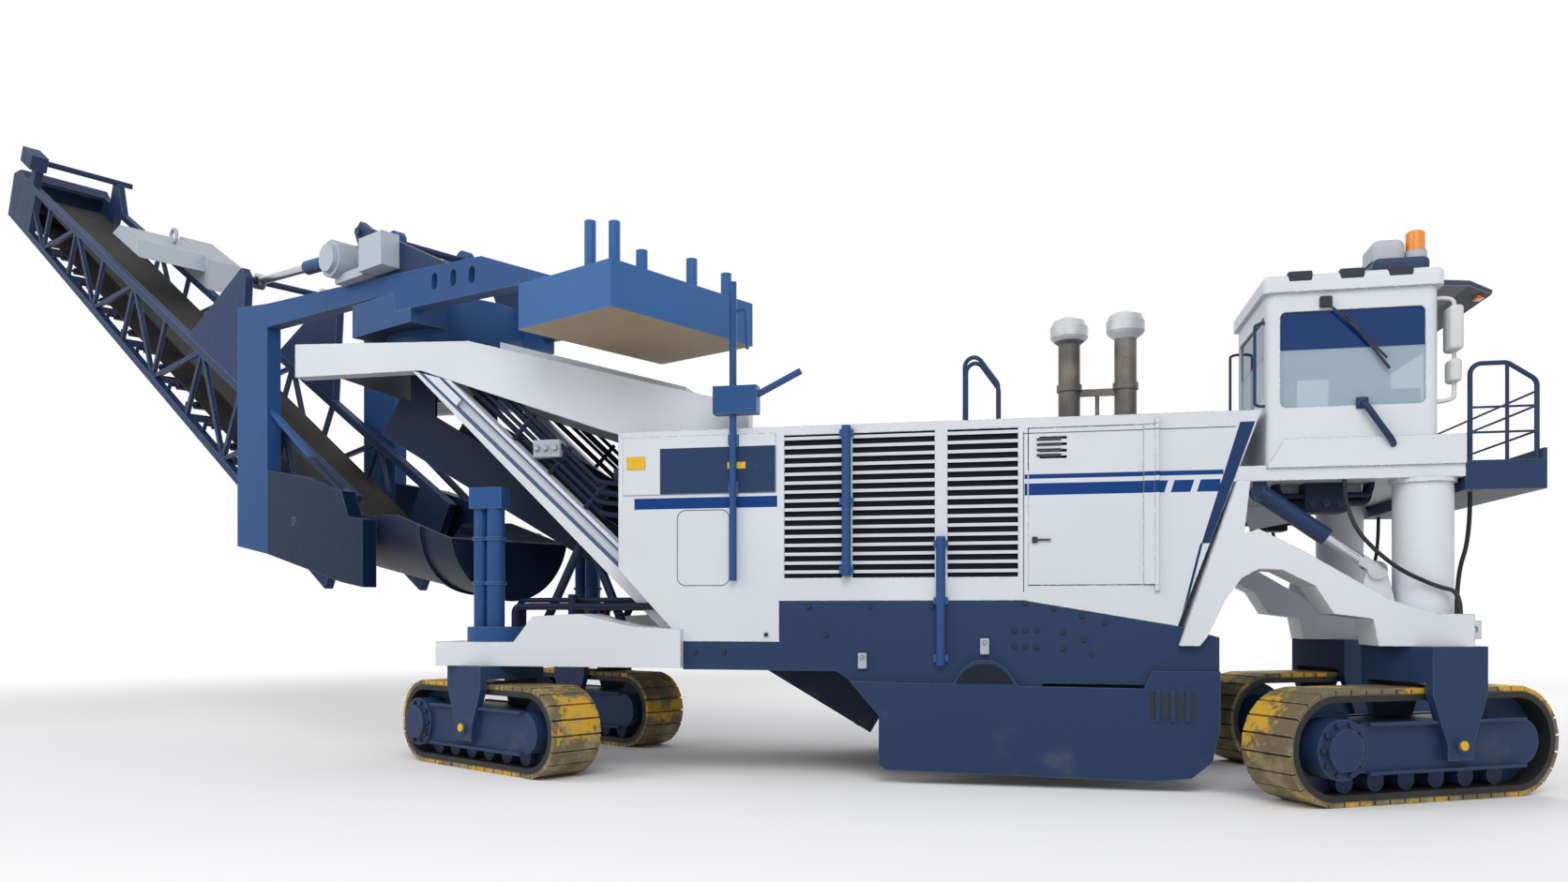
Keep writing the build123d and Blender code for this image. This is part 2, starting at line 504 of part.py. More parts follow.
def track_fork(size, arm_low, arm_top):
    """Fork over the chain: bridge, two tapered cheeks, the cross pin and the steering spindle."""
    height = size["height"]
    inner = TRACK_WIDTH / 2 + FRAME_PROUD + SEAT
    bridge_low = height + FORK_ABOVE_TRACK
    bridge_top = arm_low - SEAT
    middle = height / 2
    top_half, pin_half = FORK_LENGTH_TOP / 2, FORK_LENGTH_PIN / 2
    shoulder, toe = bridge_low - FORK_SHOULDER, middle - FORK_TOE
    outline = [(-top_half, bridge_top), (-top_half, shoulder), (-pin_half, middle), (-pin_half, toe),
               (pin_half, toe), (pin_half, middle), (top_half, shoulder), (top_half, bridge_top)]
    cheeks = [slab(outline, inner, inner + CHEEK), slab(outline, -inner - CHEEK, -inner)]
    bridge = block((-top_half, -inner, bridge_low), (top_half, inner, bridge_top))
    pin_end = inner + CHEEK + PIN_PROUD
    pin = cross_rod(0, middle, -pin_end, pin_end, PIN_RADIUS)
    spindle = rod((0, 0, bridge_low), (0, 0, arm_top - SEAT), SPINDLE_RADIUS)
    return fuse([bridge, *cheeks, pin, spindle])


TRACK_CORNERS = [  # name, sizes, steering axis, side, arm underside, arm top
    ("front_right", FRONT_TRACK, FRONT_PIVOT, -1, ARM_END_LOW, ARM_END_TOP),
    ("front_left", FRONT_TRACK, FRONT_PIVOT, 1, ARM_END_LOW, ARM_END_TOP),
    ("rear_right", REAR_TRACK, REAR_PIVOT, -1, REAR_ARM_LOW, REAR_ARM_TOP),
    ("rear_left", REAR_TRACK, REAR_PIVOT, 1, REAR_ARM_LOW, REAR_ARM_TOP),
]
for corner, size, pivot_x, side, arm_low, arm_top in TRACK_CORNERS:
    steered = Pos(pivot_x, side * GAUGE / 2, 0) * Rot(0, 0, size["steer"])
    behind_axis = steered * Pos(-size["lead"], 0, 0)
    parts[f"track_{corner}"] = behind_axis * track_loop(size)
    parts[f"track_frame_{corner}"] = behind_axis * track_frame(size)
    parts[f"track_fork_{corner}"] = steered * track_fork(size, arm_low, arm_top)


# Main frame with the drum chamber and the conveyor tunnel

PRIMARY_RUN = Vector(PRIMARY_HEAD[0] - PRIMARY_TAIL[0], PRIMARY_HEAD[1] - PRIMARY_TAIL[1])
PRIMARY_LENGTH = PRIMARY_RUN.length


def along_primary(distance, height=0.0):
    """Point on the primary conveyor's line, (x, z), from its tail pulley upwards."""
    way = PRIMARY_RUN.normalized()
    return (PRIMARY_TAIL[0] + way.X * distance + way.Y * height,
            PRIMARY_TAIL[1] + way.Y * distance - way.X * height)


def primary_slab(start, end, low, high, y_low, y_high):
    """Slab along the primary conveyor, between two heights over its line and two y planes."""
    corners = [along_primary(start, low), along_primary(end, low), along_primary(end, high),
               along_primary(start, high)]
    return slab(corners, y_low, y_high)


tunnel = primary_slab(-TUNNEL_BACK, PRIMARY_LENGTH, -TUNNEL_DEPTH, TUNNEL_DEPTH / 2, -TUNNEL_HALF,
                      TUNNEL_HALF)
frame_outline = [(HOOD_REAR, FRAME_LOW), (PLATE_REAR[0][0] - 160.0, FRAME_LOW),
                 (PLATE_REAR[0][0], DRUM_FRAME_LOW),
                 (FRAME_FRONT, DRUM_FRAME_LOW), (FRAME_FRONT, FRAME_NOSE), (HOOD_FRONT_LOW, SEAM_FRONT),
                 (BAND_BEND, DECK_TOP), (BAND_REAR, DECK_TOP), (BAND_REAR, REAR_SILL_TOP),
                 (HOOD_REAR, REAR_SILL_TOP)]
main_frame = slab(frame_outline, -HALF_WIDTH, HALF_WIDTH)
cheek_top, cheek_low = BEARING_CHEEK
cheek_outline = [(DRUM_X - cheek_top, DRUM_FRAME_LOW), (DRUM_X - cheek_low, DRUM_Z - cheek_low),
                 (DRUM_X + cheek_low, DRUM_Z - cheek_low), (DRUM_X + cheek_top, DRUM_FRAME_LOW)]
for side in (-1, 1):
    main_frame += slab(cheek_outline, *outward(side, DRUM_CAVITY_HALF, HALF_WIDTH))
main_frame -= cross_rod(DRUM_X, DRUM_Z, -DRUM_CAVITY_HALF, DRUM_CAVITY_HALF, DRUM_CAVITY_RADIUS)
main_frame -= cross_rod(DRUM_X, DRUM_Z, -HALF_WIDTH, HALF_WIDTH, SHAFT_RADIUS + SEAT)
parts["main_frame"] = main_frame - tunnel


# Cutter drum: a tube with picks wound from both ends to the middle

def cutter_drum():
    half = DRUM_LENGTH / 2
    shaft_end = HALF_WIDTH - SEAT
    pieces = [cross_rod(0, 0, -half, half, DRUM_RADIUS),
              cross_rod(0, 0, -shaft_end, shaft_end, SHAFT_RADIUS)]
    middle = DRUM_RADIUS + (PICK_LENGTH - PICK_ROOT) / 2
    pick = Pos(0, 0, middle) * Cone(PICK_RADIUS, PICK_TIP_RADIUS, PICK_LENGTH + PICK_ROOT)
    step = (half - PICK_RADIUS) / PICKS_COUNT
    for side in (-1, 1):
        for start in range(PICK_STARTS_COUNT):
            for k in range(PICKS_COUNT):
                turn = 360.0 * start / PICK_STARTS_COUNT + PICK_TURN * k / PICKS_COUNT
                y = side * (half - PICK_RADIUS - step * k)
                pieces.append(Pos(0, y, 0) * Rot(0, side * turn, 0) * pick)
    return Pos(DRUM_X, 0, DRUM_Z) * fuse(pieces)


parts["cutter_drum"] = cutter_drum()


# Side plates beside the drum, resting against the main frame
plate_outline = (PLATE_REAR + [(FRAME_FRONT - x, z) for x, z in PLATE_FRONT]
                 + [(DRUM_X + x, DRUM_Z + z) for x, z in PLATE_RECESS])
parts["side_plates"] = both_sides(slab(plate_outline, HALF_WIDTH, HALF_WIDTH + PLATE_THICK))


# Engine hood: a hollow shell standing on the main frame, with its grille and door openings

def hood_front_at(z):
    """x of the hood's slanted front at a height."""
    share = (z - SEAM_FRONT) / (HOOD_TOP - SEAM_FRONT)
    return HOOD_FRONT_LOW + (HOOD_FRONT_TOP - HOOD_FRONT_LOW) * share


hood_outline = [(HOOD_REAR, REAR_SILL_TOP), (BAND_REAR, REAR_SILL_TOP), (BAND_REAR, DECK_TOP),
                (BAND_BEND, DECK_TOP), (HOOD_FRONT_LOW, SEAM_FRONT), (HOOD_FRONT_TOP, HOOD_TOP),
                (TOWER_REAR, HOOD_TOP), (TOWER_REAR, TOWER_LOW)]
HOOD_SILL = 200.0            # the hood's floor behind the main frame is this much thicker than its walls
hood_inside = [(HOOD_REAR + HOOD_SILL, DECK_TOP + 2 * HOOD_SILL), (BAND_REAR, DECK_TOP),
               (BAND_BEND, DECK_TOP),
               (HOOD_FRONT_LOW - HOOD_WALL, SEAM_FRONT + 2 * HOOD_WALL),
               (HOOD_FRONT_TOP - 2 * HOOD_WALL, HOOD_TOP - HOOD_WALL),
               (TOWER_REAR + HOOD_WALL, HOOD_TOP - HOOD_WALL),
               (TOWER_REAR + HOOD_WALL, TOWER_LOW + 2.5 * HOOD_SILL)]
hood = slab(hood_outline, -HALF_WIDTH, HALF_WIDTH)
hood -= slab(hood_inside, -HALF_WIDTH + HOOD_WALL, HALF_WIDTH - HOOD_WALL)
hood -= tunnel
for rear_edge, front_edge in LIDS:
    hood += block((rear_edge, -LID_HALF, HOOD_TOP), (front_edge, LID_HALF, HOOD_TOP + LID_HEIGHT))
for side in (-1, 1):
    inner, outer = outward(side, HALF_WIDTH - HOOD_WALL, HALF_WIDTH)
    for rear_edge, front_edge in GRILLES:
        hood -= block((rear_edge, inner, GRILLE_LOW), (front_edge, outer, GRILLE_TOP))
    hood -= block((DOOR_X[0], inner, DOOR_Z[0]), (DOOR_X[1], outer, DOOR_Z[1]))
    hinge_y = side * (HALF_WIDTH + HINGE_OUT)
    y_low, y_high = outward(side, HALF_WIDTH, HALF_WIDTH + HINGE_OUT + HINGE_RADIUS)
    for z, way in ((DOOR_Z[0], -1), (DOOR_Z[1], 1)):
        lug_low, lug_high = sorted((z, z + way * HINGE_LUG))
        hood += block((DOOR_X[1] - HINGE_RADIUS, y_low, lug_low),
                      (DOOR_X[1] + HINGE_RADIUS, y_high, lug_high))
        hood += rod((DOOR_X[1], hinge_y, z), (DOOR_X[1], hinge_y, z - way * HINGE_LUG), HINGE_PIN)
    y_low, y_high = outward(side, HALF_WIDTH, HALF_WIDTH + REAR_PANEL["proud"])
    hood += block((TOWER_REAR + REAR_PANEL["edge"], y_low, REAR_PANEL["low"]),
                  (REAR_PANEL["front"], y_high, REAR_PANEL["top"]))
parts["engine_hood"] = hood


def hood_door(side):
    """Service door in front of the grilles, hung on two pins at its front edge, with a small vent."""
    inner, outer = outward(side, HALF_WIDTH - HOOD_WALL, HALF_WIDTH)
    front_edge = DOOR_X[1] - HINGE_RADIUS - DOOR_GAP
    panel = block((DOOR_X[0] + DOOR_GAP, inner, DOOR_Z[0] + DOOR_GAP),
                  (front_edge, outer, DOOR_Z[1] - DOOR_GAP))
    hinge_y = side * (HALF_WIDTH + HINGE_OUT)
    knuckle = rod((DOOR_X[1], hinge_y, DOOR_Z[0] + SEAT), (DOOR_X[1], hinge_y, DOOR_Z[1] - SEAT),
                  HINGE_RADIUS)
    y_low, y_high = outward(side, HALF_WIDTH, HALF_WIDTH + HINGE_OUT)
    leaf = block((DOOR_X[1] - DOOR_LEAF, y_low, DOOR_Z[0] + DOOR_GAP),
                 (DOOR_X[1], y_high, DOOR_Z[1] - DOOR_GAP))
    bore = rod((DOOR_X[1], hinge_y, DOOR_Z[0]), (DOOR_X[1], hinge_y, DOOR_Z[1]), HINGE_PIN + PIN_PLAY)
    door = fuse([panel, leaf, knuckle]) - bore
    for k in range(VENT["slot_count"]):
        z = VENT["low"] + VENT["pitch"] * k
        door -= block((DOOR_X[0] + VENT["rear"], inner, z),
                      (DOOR_X[0] + VENT["front"], outer, z + VENT["slot"]))
    return door


parts["hood_door_right"] = hood_door(-1)
parts["hood_door_left"] = hood_door(1)


def grilles(side):
    """Three louvred panels in the hood's side: slats in front of a thin back plate."""
    back = HALF_WIDTH - HOOD_WALL
    for rear_edge, front_edge in GRILLES:
        rear, front = rear_edge + SEAT, front_edge - SEAT
        y_low, y_high = outward(side, back, back + GRILLE_BACK)
        panel = [block((rear, y_low, GRILLE_LOW + SEAT), (front, y_high, GRILLE_TOP - SEAT))]
        y_low, y_high = outward(side, back, HALF_WIDTH - SLAT_SUNK)
        for k in range(int((GRILLE_TOP - GRILLE_LOW) / SLAT_PITCH)):
            z = GRILLE_LOW + SLAT_PITCH * (k + 0.5)
            panel.append(block((rear, y_low, z), (front, y_high, z + SLAT_HEIGHT)))
        yield fuse(panel)


parts["hood_grilles"] = group([*grilles(-1), *grilles(1)])
parts["engine_block"] = block((ENGINE["rear"], -ENGINE["half"], DECK_TOP),
                              (ENGINE["front"], ENGINE["half"], ENGINE["top"]))


# On the hood: two exhaust stacks with rain caps, joined by a tie

def stack(x, cap_low):
    profile = STACK_PROFILE + [(radius, cap_low - HOOD_TOP + rise) for radius, rise in CAP_PROFILE]
    return turned(profile, HOOD_FRONT_TOP - x, STACK_Y, HOOD_TOP)


tie_low = HOOD_TOP + STACK_TIE["z"]
tie_ends = [HOOD_FRONT_TOP - x for x, cap_low in STACKS]
tie_middle = sum(tie_ends) / 2
parts["exhaust_stacks"] = fuse([
    *[stack(x, cap_low) for x, cap_low in STACKS],
    block((tie_ends[0], STACK_Y - STACK_TIE["half"], tie_low),
          (tie_ends[1], STACK_Y + STACK_TIE["half"], tie_low + STACK_TIE["height"])),
    rod((tie_middle, STACK_Y, HOOD_TOP), (tie_middle, STACK_Y, tie_low + STACK_TIE["half"]),
        STACK_TIE["strut"])])


# Cab deck between the hood and the front platform, with a fascia along both sides
deck_outline = [(hood_front_at(CAB_DECK[0]), CAB_DECK[0]), (CAB_DECK_FRONT, CAB_DECK[0]),
                (CAB_DECK_FRONT, CAB_DECK[1]), (hood_front_at(CAB_DECK[1]), CAB_DECK[1])]
fascia_rear = FRONT_PIVOT + FASCIA["rear_ahead"]
fascia_outline = [(fascia_rear - FASCIA["cut"], FASCIA["low"]), (CAB_DECK_FRONT, FASCIA["low"]),
                  (CAB_DECK_FRONT, FASCIA["top"]), (fascia_rear, FASCIA["top"])]
fascia = slab(fascia_outline, HALF_WIDTH, HALF_WIDTH + FASCIA["proud"])
web = slab([(FRONT_PIVOT + x, z) for x, z in DECK_WEB], *DECK_WEB_HALF)
deck_sides = [fascia, web, mirror(fascia, Plane.XZ), mirror(web, Plane.XZ)]
parts["cab_deck"] = fuse([slab(deck_outline, -HALF_WIDTH, HALF_WIDTH), *deck_sides])

platform = block((CAB_DECK_FRONT, -HALF_WIDTH, CAB_DECK[1] - PLATFORM_THICK),
                 (PLATFORM_FRONT, HALF_WIDTH, CAB_DECK[1]))
lip_top = CAB_DECK[1] + PLATFORM_LIP["height"]
platform += block((PLATFORM_FRONT - PLATFORM_LIP["thick"], -HALF_WIDTH, CAB_DECK[1]),
                  (PLATFORM_FRONT, HALF_WIDTH, lip_top))
parts["front_platform"] = platform


# Front arms with tow lugs and cylinder lugs, and the columns that stand on them

def tow_lug(face, way, z):
    """Lug with a cross hole on an arm's end face, pointing forward (way 1) or back (way -1)."""
    tip = face + way * LUG_LENGTH
    low_x, high_x = sorted((face, tip))
    low_y, high_y = GAUGE / 2 - LUG_THICK / 2, GAUGE / 2 + LUG_THICK / 2
    plate = block((low_x, low_y, z - LUG_HEIGHT / 2), (high_x, high_y, z + LUG_HEIGHT / 2))
    return plate - cross_rod(face + way * LUG_HOLE_AT, z, low_y, high_y, LUG_HOLE)


def front(point):
    """x, z of a point that is given from the front steering axis."""
    return FRONT_PIVOT + point[0], point[1]


column_foot = (FRONT_PIVOT, GAUGE / 2, ARM_END_TOP)
column_top = (FRONT_PIVOT, GAUGE / 2, CAB_DECK[0])
column = rod(column_foot, column_top, COLUMN_RADIUS)
column += rod((FRONT_PIVOT, GAUGE / 2, CAB_DECK[0] - FLANGE_THICK), column_top,
              COLUMN_RADIUS + COLUMN_FLANGE)
parts["front_columns"] = both_sides(column)

eye_x, eye_z = front(LIFT_EYE)
lug_low, lug_high = LIFT_Y - LIFT_LUG / 2, LIFT_Y + LIFT_LUG / 2
lug_foot = eye_z - 4 * LIFT_EYE_RADIUS
lift_lug = slab([(eye_x - LIFT_EYE_RADIUS, eye_z), (eye_x - 2 * LIFT_EYE_RADIUS, lug_foot),
                 (eye_x + 2 * LIFT_EYE_RADIUS, lug_foot), (eye_x + LIFT_EYE_RADIUS, eye_z)], lug_low,
                 lug_high)
lift_lug += cross_rod(eye_x, eye_z, lug_low, lug_high, LIFT_EYE_RADIUS)
lift_lug -= cross_rod(eye_x, eye_z, lug_low, lug_high, LIFT_PIN + PIN_PLAY)
spindle_bore = rod((FRONT_PIVOT, GAUGE / 2, ARM_END_LOW), column_foot, SPINDLE_RADIUS + SEAT)
front_arm = slab([front(point) for point in ARM_UNDERSIDE + ARM_TOPSIDE], *ARM_HALF) + lift_lug
front_arm -= spindle_bore
front_arm -= rod(column_foot, column_top, COLUMN_RADIUS + SEAT)
front_arm = front_arm - parts["main_frame"] - parts["engine_hood"]
parts["front_arms"] = both_sides(front_arm + tow_lug(FRONT_ARM_END, 1, FRONT_LUG_Z))


# Lift cylinders: barrels hung under the cab deck, and their rods with clevises on the arms

def lift_point(point, y=LIFT_Y):
    x, z = front(point)
    return (x, y, z)


hanger_x, hanger_z = front(LIFT_HANGER)
LIFT_GLAND = [GLAND_SHARE * b + (1 - GLAND_SHARE) * a for a, b in zip(LIFT_HANGER, LIFT_EYE)]
hanger = block((hanger_x - LIFT_HANGER_HALF[0], LIFT_Y - LIFT_HANGER_HALF[1], hanger_z),
               (hanger_x + LIFT_HANGER_HALF[0], LIFT_Y + LIFT_HANGER_HALF[1], CAB_DECK[0]))
lift_barrel = rod(lift_point(LIFT_HANGER), lift_point(LIFT_GLAND), LIFT_BARREL)
lift_barrel += cross_rod(hanger_x, hanger_z, LIFT_Y - LIFT_HANGER_HALF[1], LIFT_Y + LIFT_HANGER_HALF[1],
                         LIFT_BARREL)
parts["lift_barrels"] = both_sides(lift_barrel + hanger)
lift_rod = [rod(lift_point(LIFT_GLAND), lift_point(LIFT_EYE), LIFT_ROD)]
cheek_inner = LIFT_LUG / 2 + SEAT
cheek_outer = cheek_inner + LIFT_CHEEK
lift_rod.append(cross_rod(eye_x, eye_z, LIFT_Y - cheek_outer, LIFT_Y + cheek_outer, LIFT_EYE_RADIUS))
clevis = fuse(lift_rod) - cross_rod(eye_x, eye_z, LIFT_Y - cheek_inner, LIFT_Y + cheek_inner,
                                    LIFT_EYE_RADIUS + LIFT_PIN)
fork_root = lift_point(LIFT_EYE)
way = (Vector(*lift_point(LIFT_GLAND)) - Vector(*fork_root)).normalized()
root = tuple(Vector(*fork_root) + way * (LIFT_EYE_RADIUS + LIFT_PIN))
clevis += rod(root, lift_point(LIFT_GLAND), LIFT_ROD)
for side in (-1, 1):
    y = LIFT_Y + side * (cheek_inner + LIFT_CHEEK / 2)
    clevis += bar((root[0], y, root[2]), lift_point(LIFT_EYE, y), LIFT_CHEEK, 2 * LIFT_ROD)
clevis += bar(root, tuple(Vector(*root) + way * LIFT_ROD), 2 * cheek_outer, 2 * LIFT_ROD)
clevis += cross_rod(eye_x, eye_z, LIFT_Y - cheek_outer, LIFT_Y + cheek_outer, LIFT_PIN)
parts["lift_rods"] = both_sides(clevis)


# Hoses beside the columns, held at both ends
hoses = []
for route in HOSE_ROUTES:
    hoses.append(tube([(FRONT_PIVOT + x, y, z) for x, y, z in route], HOSE_RADIUS, HOSE_BEND))
parts["leg_hoses"] = both_sides(group(hoses))


# Cab: a hollow box on the deck with its windows cut and a door on the left, and a roof that overhangs it

def window_holes():
    """Low and high corner of each window opening: right side, rear and front."""
    z_low, z_high = WINDOW_Z
    yield ((CAB_X[0] + WINDOW_POST, CAB_Y[0], z_low), (CAB_X[1] - WINDOW_POST, CAB_Y[0] + CAB_WALL, z_high))
    yield ((CAB_X[0], CAB_Y[0] + WINDOW_POST, z_low + REAR_WINDOW_RISE),
           (CAB_X[0] + CAB_WALL, CAB_Y[1] - WINDOW_POST, z_high))
    yield ((CAB_X[1] - CAB_WALL, CAB_Y[0] + WINDOW_POST, z_low - FRONT_WINDOW_DROP),
           (CAB_X[1], CAB_Y[1] - WINDOW_POST, z_high))


def window(low, high):
    """Block with rounded corners, seen square to its thin side."""
    thin = Axis.X if high[0] - low[0] < high[1] - low[1] else Axis.Y
    return fillet(block(low, high).edges().filter_by(thin), WINDOW_ROUND)


def pane(low, high):
    """Glass in the middle of a window opening."""
    thin = 0 if high[0] - low[0] < high[1] - low[1] else 1
    corner_low = [v + SEAT for v in low]
    corner_high = [v - SEAT for v in high]
    middle = (low[thin] + high[thin]) / 2
    corner_low[thin], corner_high[thin] = middle - GLASS / 2, middle + GLASS / 2
    return window(corner_low, corner_high)


def cab_shell():
    low = (CAB_X[0], CAB_Y[0], CAB_DECK[1])
    high = (CAB_X[1], CAB_Y[1], CAB_TOP - EAVE["depth"])
    shell = fillet(block(low, high).edges().filter_by(Axis.Z), CAB_CORNER)
    shell -= block((low[0] + CAB_WALL, low[1] + CAB_WALL, low[2] + CAB_WALL),
                   (high[0] - CAB_WALL, high[1] - CAB_WALL, high[2]))
    for hole in window_holes():
        shell -= window(*hole)
    shell -= block((CAB_DOOR_X[0], CAB_Y[1] - CAB_WALL, CAB_DOOR_Z[0]),
                   (CAB_DOOR_X[1], CAB_Y[1], CAB_DOOR_Z[1]))
    hinge_y = CAB_Y[1] + HINGE_OUT
    for z, way in ((CAB_DOOR_Z[0], -1), (CAB_DOOR_Z[1], 1)):
        lug_low, lug_high = sorted((z, z + way * HINGE_LUG))
        shell += block((CAB_DOOR_X[1] - HINGE_RADIUS, CAB_Y[1], lug_low),
                       (CAB_DOOR_X[1] + HINGE_RADIUS, hinge_y + HINGE_RADIUS, lug_high))
        shell += rod((CAB_DOOR_X[1], hinge_y, z), (CAB_DOOR_X[1], hinge_y, z - way * HINGE_LUG), HINGE_PIN)
    return shell


def cab_roof():
    """Roof slab with an eave all round, and the visor over the front window."""
    proud = EAVE["proud"]
    roof = rounded((CAB_X[0] - proud, CAB_Y[0] - proud, CAB_TOP - EAVE["depth"]),
                   (CAB_X[1] + proud, CAB_Y[1] + proud, CAB_TOP), EAVE["round"])
    visor = [(CAB_X[1] + x, CAB_TOP + z) for x, z in VISOR_LINE]
    return roof + slab(visor, CAB_Y[0] + VISOR_INSET, CAB_Y[1] - VISOR_INSET)


parts["cab_shell"] = cab_shell()
parts["cab_roof"] = cab_roof()
parts["cab_glass"] = group([pane(*hole) for hole in window_holes()])


def cab_door(glass_hole):
    hinge_x, hinge_y = CAB_DOOR_X[1], CAB_Y[1] + HINGE_OUT
    low, high = CAB_DOOR_Z
    door = block((CAB_DOOR_X[0] + DOOR_GAP, CAB_Y[1] - CAB_WALL, low + DOOR_GAP),
                 (hinge_x - HINGE_RADIUS - DOOR_GAP, CAB_Y[1], high - DOOR_GAP))
    door -= window(*glass_hole)
    door += block((hinge_x - CAB_DOOR_LEAF, CAB_Y[1], low + DOOR_GAP), (hinge_x, hinge_y, high - DOOR_GAP))
    door += rod((hinge_x, hinge_y, low + SEAT), (hinge_x, hinge_y, high - SEAT), HINGE_RADIUS)
    return door - rod((hinge_x, hinge_y, low), (hinge_x, hinge_y, high), HINGE_PIN + PIN_PLAY)


door_glass_hole = ((CAB_DOOR_X[0] + WINDOW_POST, CAB_Y[1] - CAB_WALL, WINDOW_Z[0]),
                   (CAB_DOOR_X[1] - HINGE_RADIUS - WINDOW_POST, CAB_Y[1], WINDOW_Z[1] - WINDOW_ROUND))
parts["cab_door"] = cab_door(door_glass_hole)
parts["cab_door_glass"] = pane(*door_glass_hole)

# Inside the cab
floor = CAB_DECK[1] + CAB_WALL
seat_x, seat_y = SEAT_AT
parts["operator_seat"] = fuse([
    block((seat_x + rear, seat_y - half, floor + low), (seat_x + front_edge, seat_y + half, floor + top))
    for rear, front_edge, half, low, top in SEAT_BLOCKS])
desk_front = CAB_X[1] - CONSOLE["front"]
parts["operator_console"] = fuse([
    block((CAB_X[1] - CONSOLE["rear"], CONSOLE["right"], floor),
          (desk_front, CONSOLE["left"], floor + CONSOLE["shelf"])),
    block((CAB_X[1] - CONSOLE["lip"], CONSOLE["right"], floor + CONSOLE["shelf"]),
          (desk_front, CONSOLE["left"], floor + CONSOLE["top"]))])

# On the cab's roof: a low base with the cooling unit and the beacon's foot, and the beacon
beacon_x, beacon_y = CAB_X[1] - BEACON["back"], BEACON["y"]
beacon_foot = (beacon_x, beacon_y, CAB_TOP + BEACON["foot_top"])
parts["roof_unit"] = fuse([
    rounded((CAB_X[1] - ROOF_BASE["rear"], ROOF_BASE["right"], CAB_TOP),
            (CAB_X[1] - ROOF_BASE["front"], ROOF_BASE["left"], CAB_TOP + ROOF_BASE["height"]),
            ROOF_BASE["round"]),
    rounded((CAB_X[1] - COOLER["rear"], COOLER["right"], CAB_TOP + COOLER["low"]),
            (CAB_X[1] - COOLER["front"], COOLER["left"], CAB_TOP + COOLER["top"]), COOLER["round"]),
    rod((beacon_x, beacon_y, CAB_TOP + ROOF_BASE["height"] / 2), beacon_foot, BEACON["foot"])])
beacon_top = (beacon_x, beacon_y, CAB_TOP + BEACON["top"])
lens = rod(beacon_foot, beacon_top, BEACON["radius"])
parts["beacon"] = fillet(lens.edges().sort_by(Axis.Z)[-1:], BEACON["round"])


# Handrails of bent tube: round the front platform, beside the walkway, and a double hoop on the hood
edge = HALF_WIDTH - RAIL_INSET
rail_base = CAB_DECK[1]
post_x = [CAB_DECK_FRONT + station for station in RAIL_STATIONS]
side_rail = [(post_x[0], rail_base), (post_x[0], rail_base + RAIL_TOP), (post_x[1], rail_base + RAIL_TOP),
             (post_x[2], rail_base + RAIL_NOSE), (post_x[2], rail_base)]
platform_rail = []
for side in (-1, 1):
    y = side * edge
    platform_rail.append(tube([(x, y, z) for x, z in side_rail], RAIL_RADIUS, RAIL_BEND))
    platform_rail.append(rod((post_x[1], y, rail_base), (post_x[1], y, rail_base + RAIL_TOP), POST_RADIUS))
    for share in RAIL_BARS:
        z = rail_base + RAIL_NOSE * share
        platform_rail.append(rod((post_x[0], y, z), (post_x[2], y, z), BAR_RADIUS))
for share in (*RAIL_BARS, 1.0):
    z = rail_base + RAIL_NOSE * share - RAIL_BEND * (share == 1.0)
    platform_rail.append(rod((post_x[2], -edge, z), (post_x[2], edge, z), BAR_RADIUS))
platform_rail.append(rod((post_x[2], 0, rail_base), (post_x[2], 0, rail_base + RAIL_NOSE - RAIL_BEND),
                         POST_RADIUS))
walk = [FRONT_PIVOT + x for x in WALK_RAIL]
walk_rail = [tube([(walk[0], edge, rail_base), (walk[0], edge, rail_base + RAIL_TOP),
                   (walk[1], edge, rail_base + RAIL_TOP),
                   (walk[1], edge, rail_base)], RAIL_RADIUS, RAIL_BEND)]
for x in WALK_POSTS:
    walk_rail.append(rod((FRONT_PIVOT + x, edge, rail_base), (FRONT_PIVOT + x, edge, rail_base + RAIL_TOP),
                         POST_RADIUS))
for share in RAIL_BARS:
    z = rail_base + RAIL_NOSE * share
    walk_rail.append(rod((walk[0], edge, z), (walk[1], edge, z), BAR_RADIUS))
hoops = [tube([(x, y, HOOD_TOP + z) for x, z in HOOP], RAIL_RADIUS, RAIL_BEND) for y in HOOP_Y]
for x, height in ((HOOP[0][0], HOOP_RUNG), (HOOP[4][0], HOOP_RUNG - RAIL_BEND)):
    hoops.append(rod((x, HOOP_Y[0], HOOD_TOP + height), (x, HOOP_Y[1], HOOD_TOP + height), BAR_RADIUS))
parts["handrails"] = group([fuse(platform_rail), fuse(walk_rail), fuse(hoops)])


# Rear arms and their columns
rear_arm_outline = [(REAR_ARM_END, REAR_ARM_LOW), (HOOD_REAR, REAR_ARM_LOW), (HOOD_REAR, REAR_ARM_ROOT),
                    *[(REAR_PIVOT + x, z) for x, z in REAR_ARM_TOPSIDE], (REAR_ARM_END, REAR_ARM_TOP)]
rear_top = (REAR_PIVOT, GAUGE / 2, REAR_ARM_TOP)
rear_arm = slab(rear_arm_outline, *ARM_HALF) - parts["engine_hood"]
rear_arm -= rod((REAR_PIVOT, GAUGE / 2, REAR_ARM_LOW), rear_top, SPINDLE_RADIUS + SEAT)
parts["rear_arms"] = both_sides(rear_arm + tow_lug(REAR_ARM_END, -1, REAR_LUG_Z))
foot_top = (REAR_PIVOT, GAUGE / 2, REAR_ARM_TOP + COLUMN_FOOT["height"])
rear_column = [rod(rear_top, foot_top, COLUMN_FOOT["radius"])]
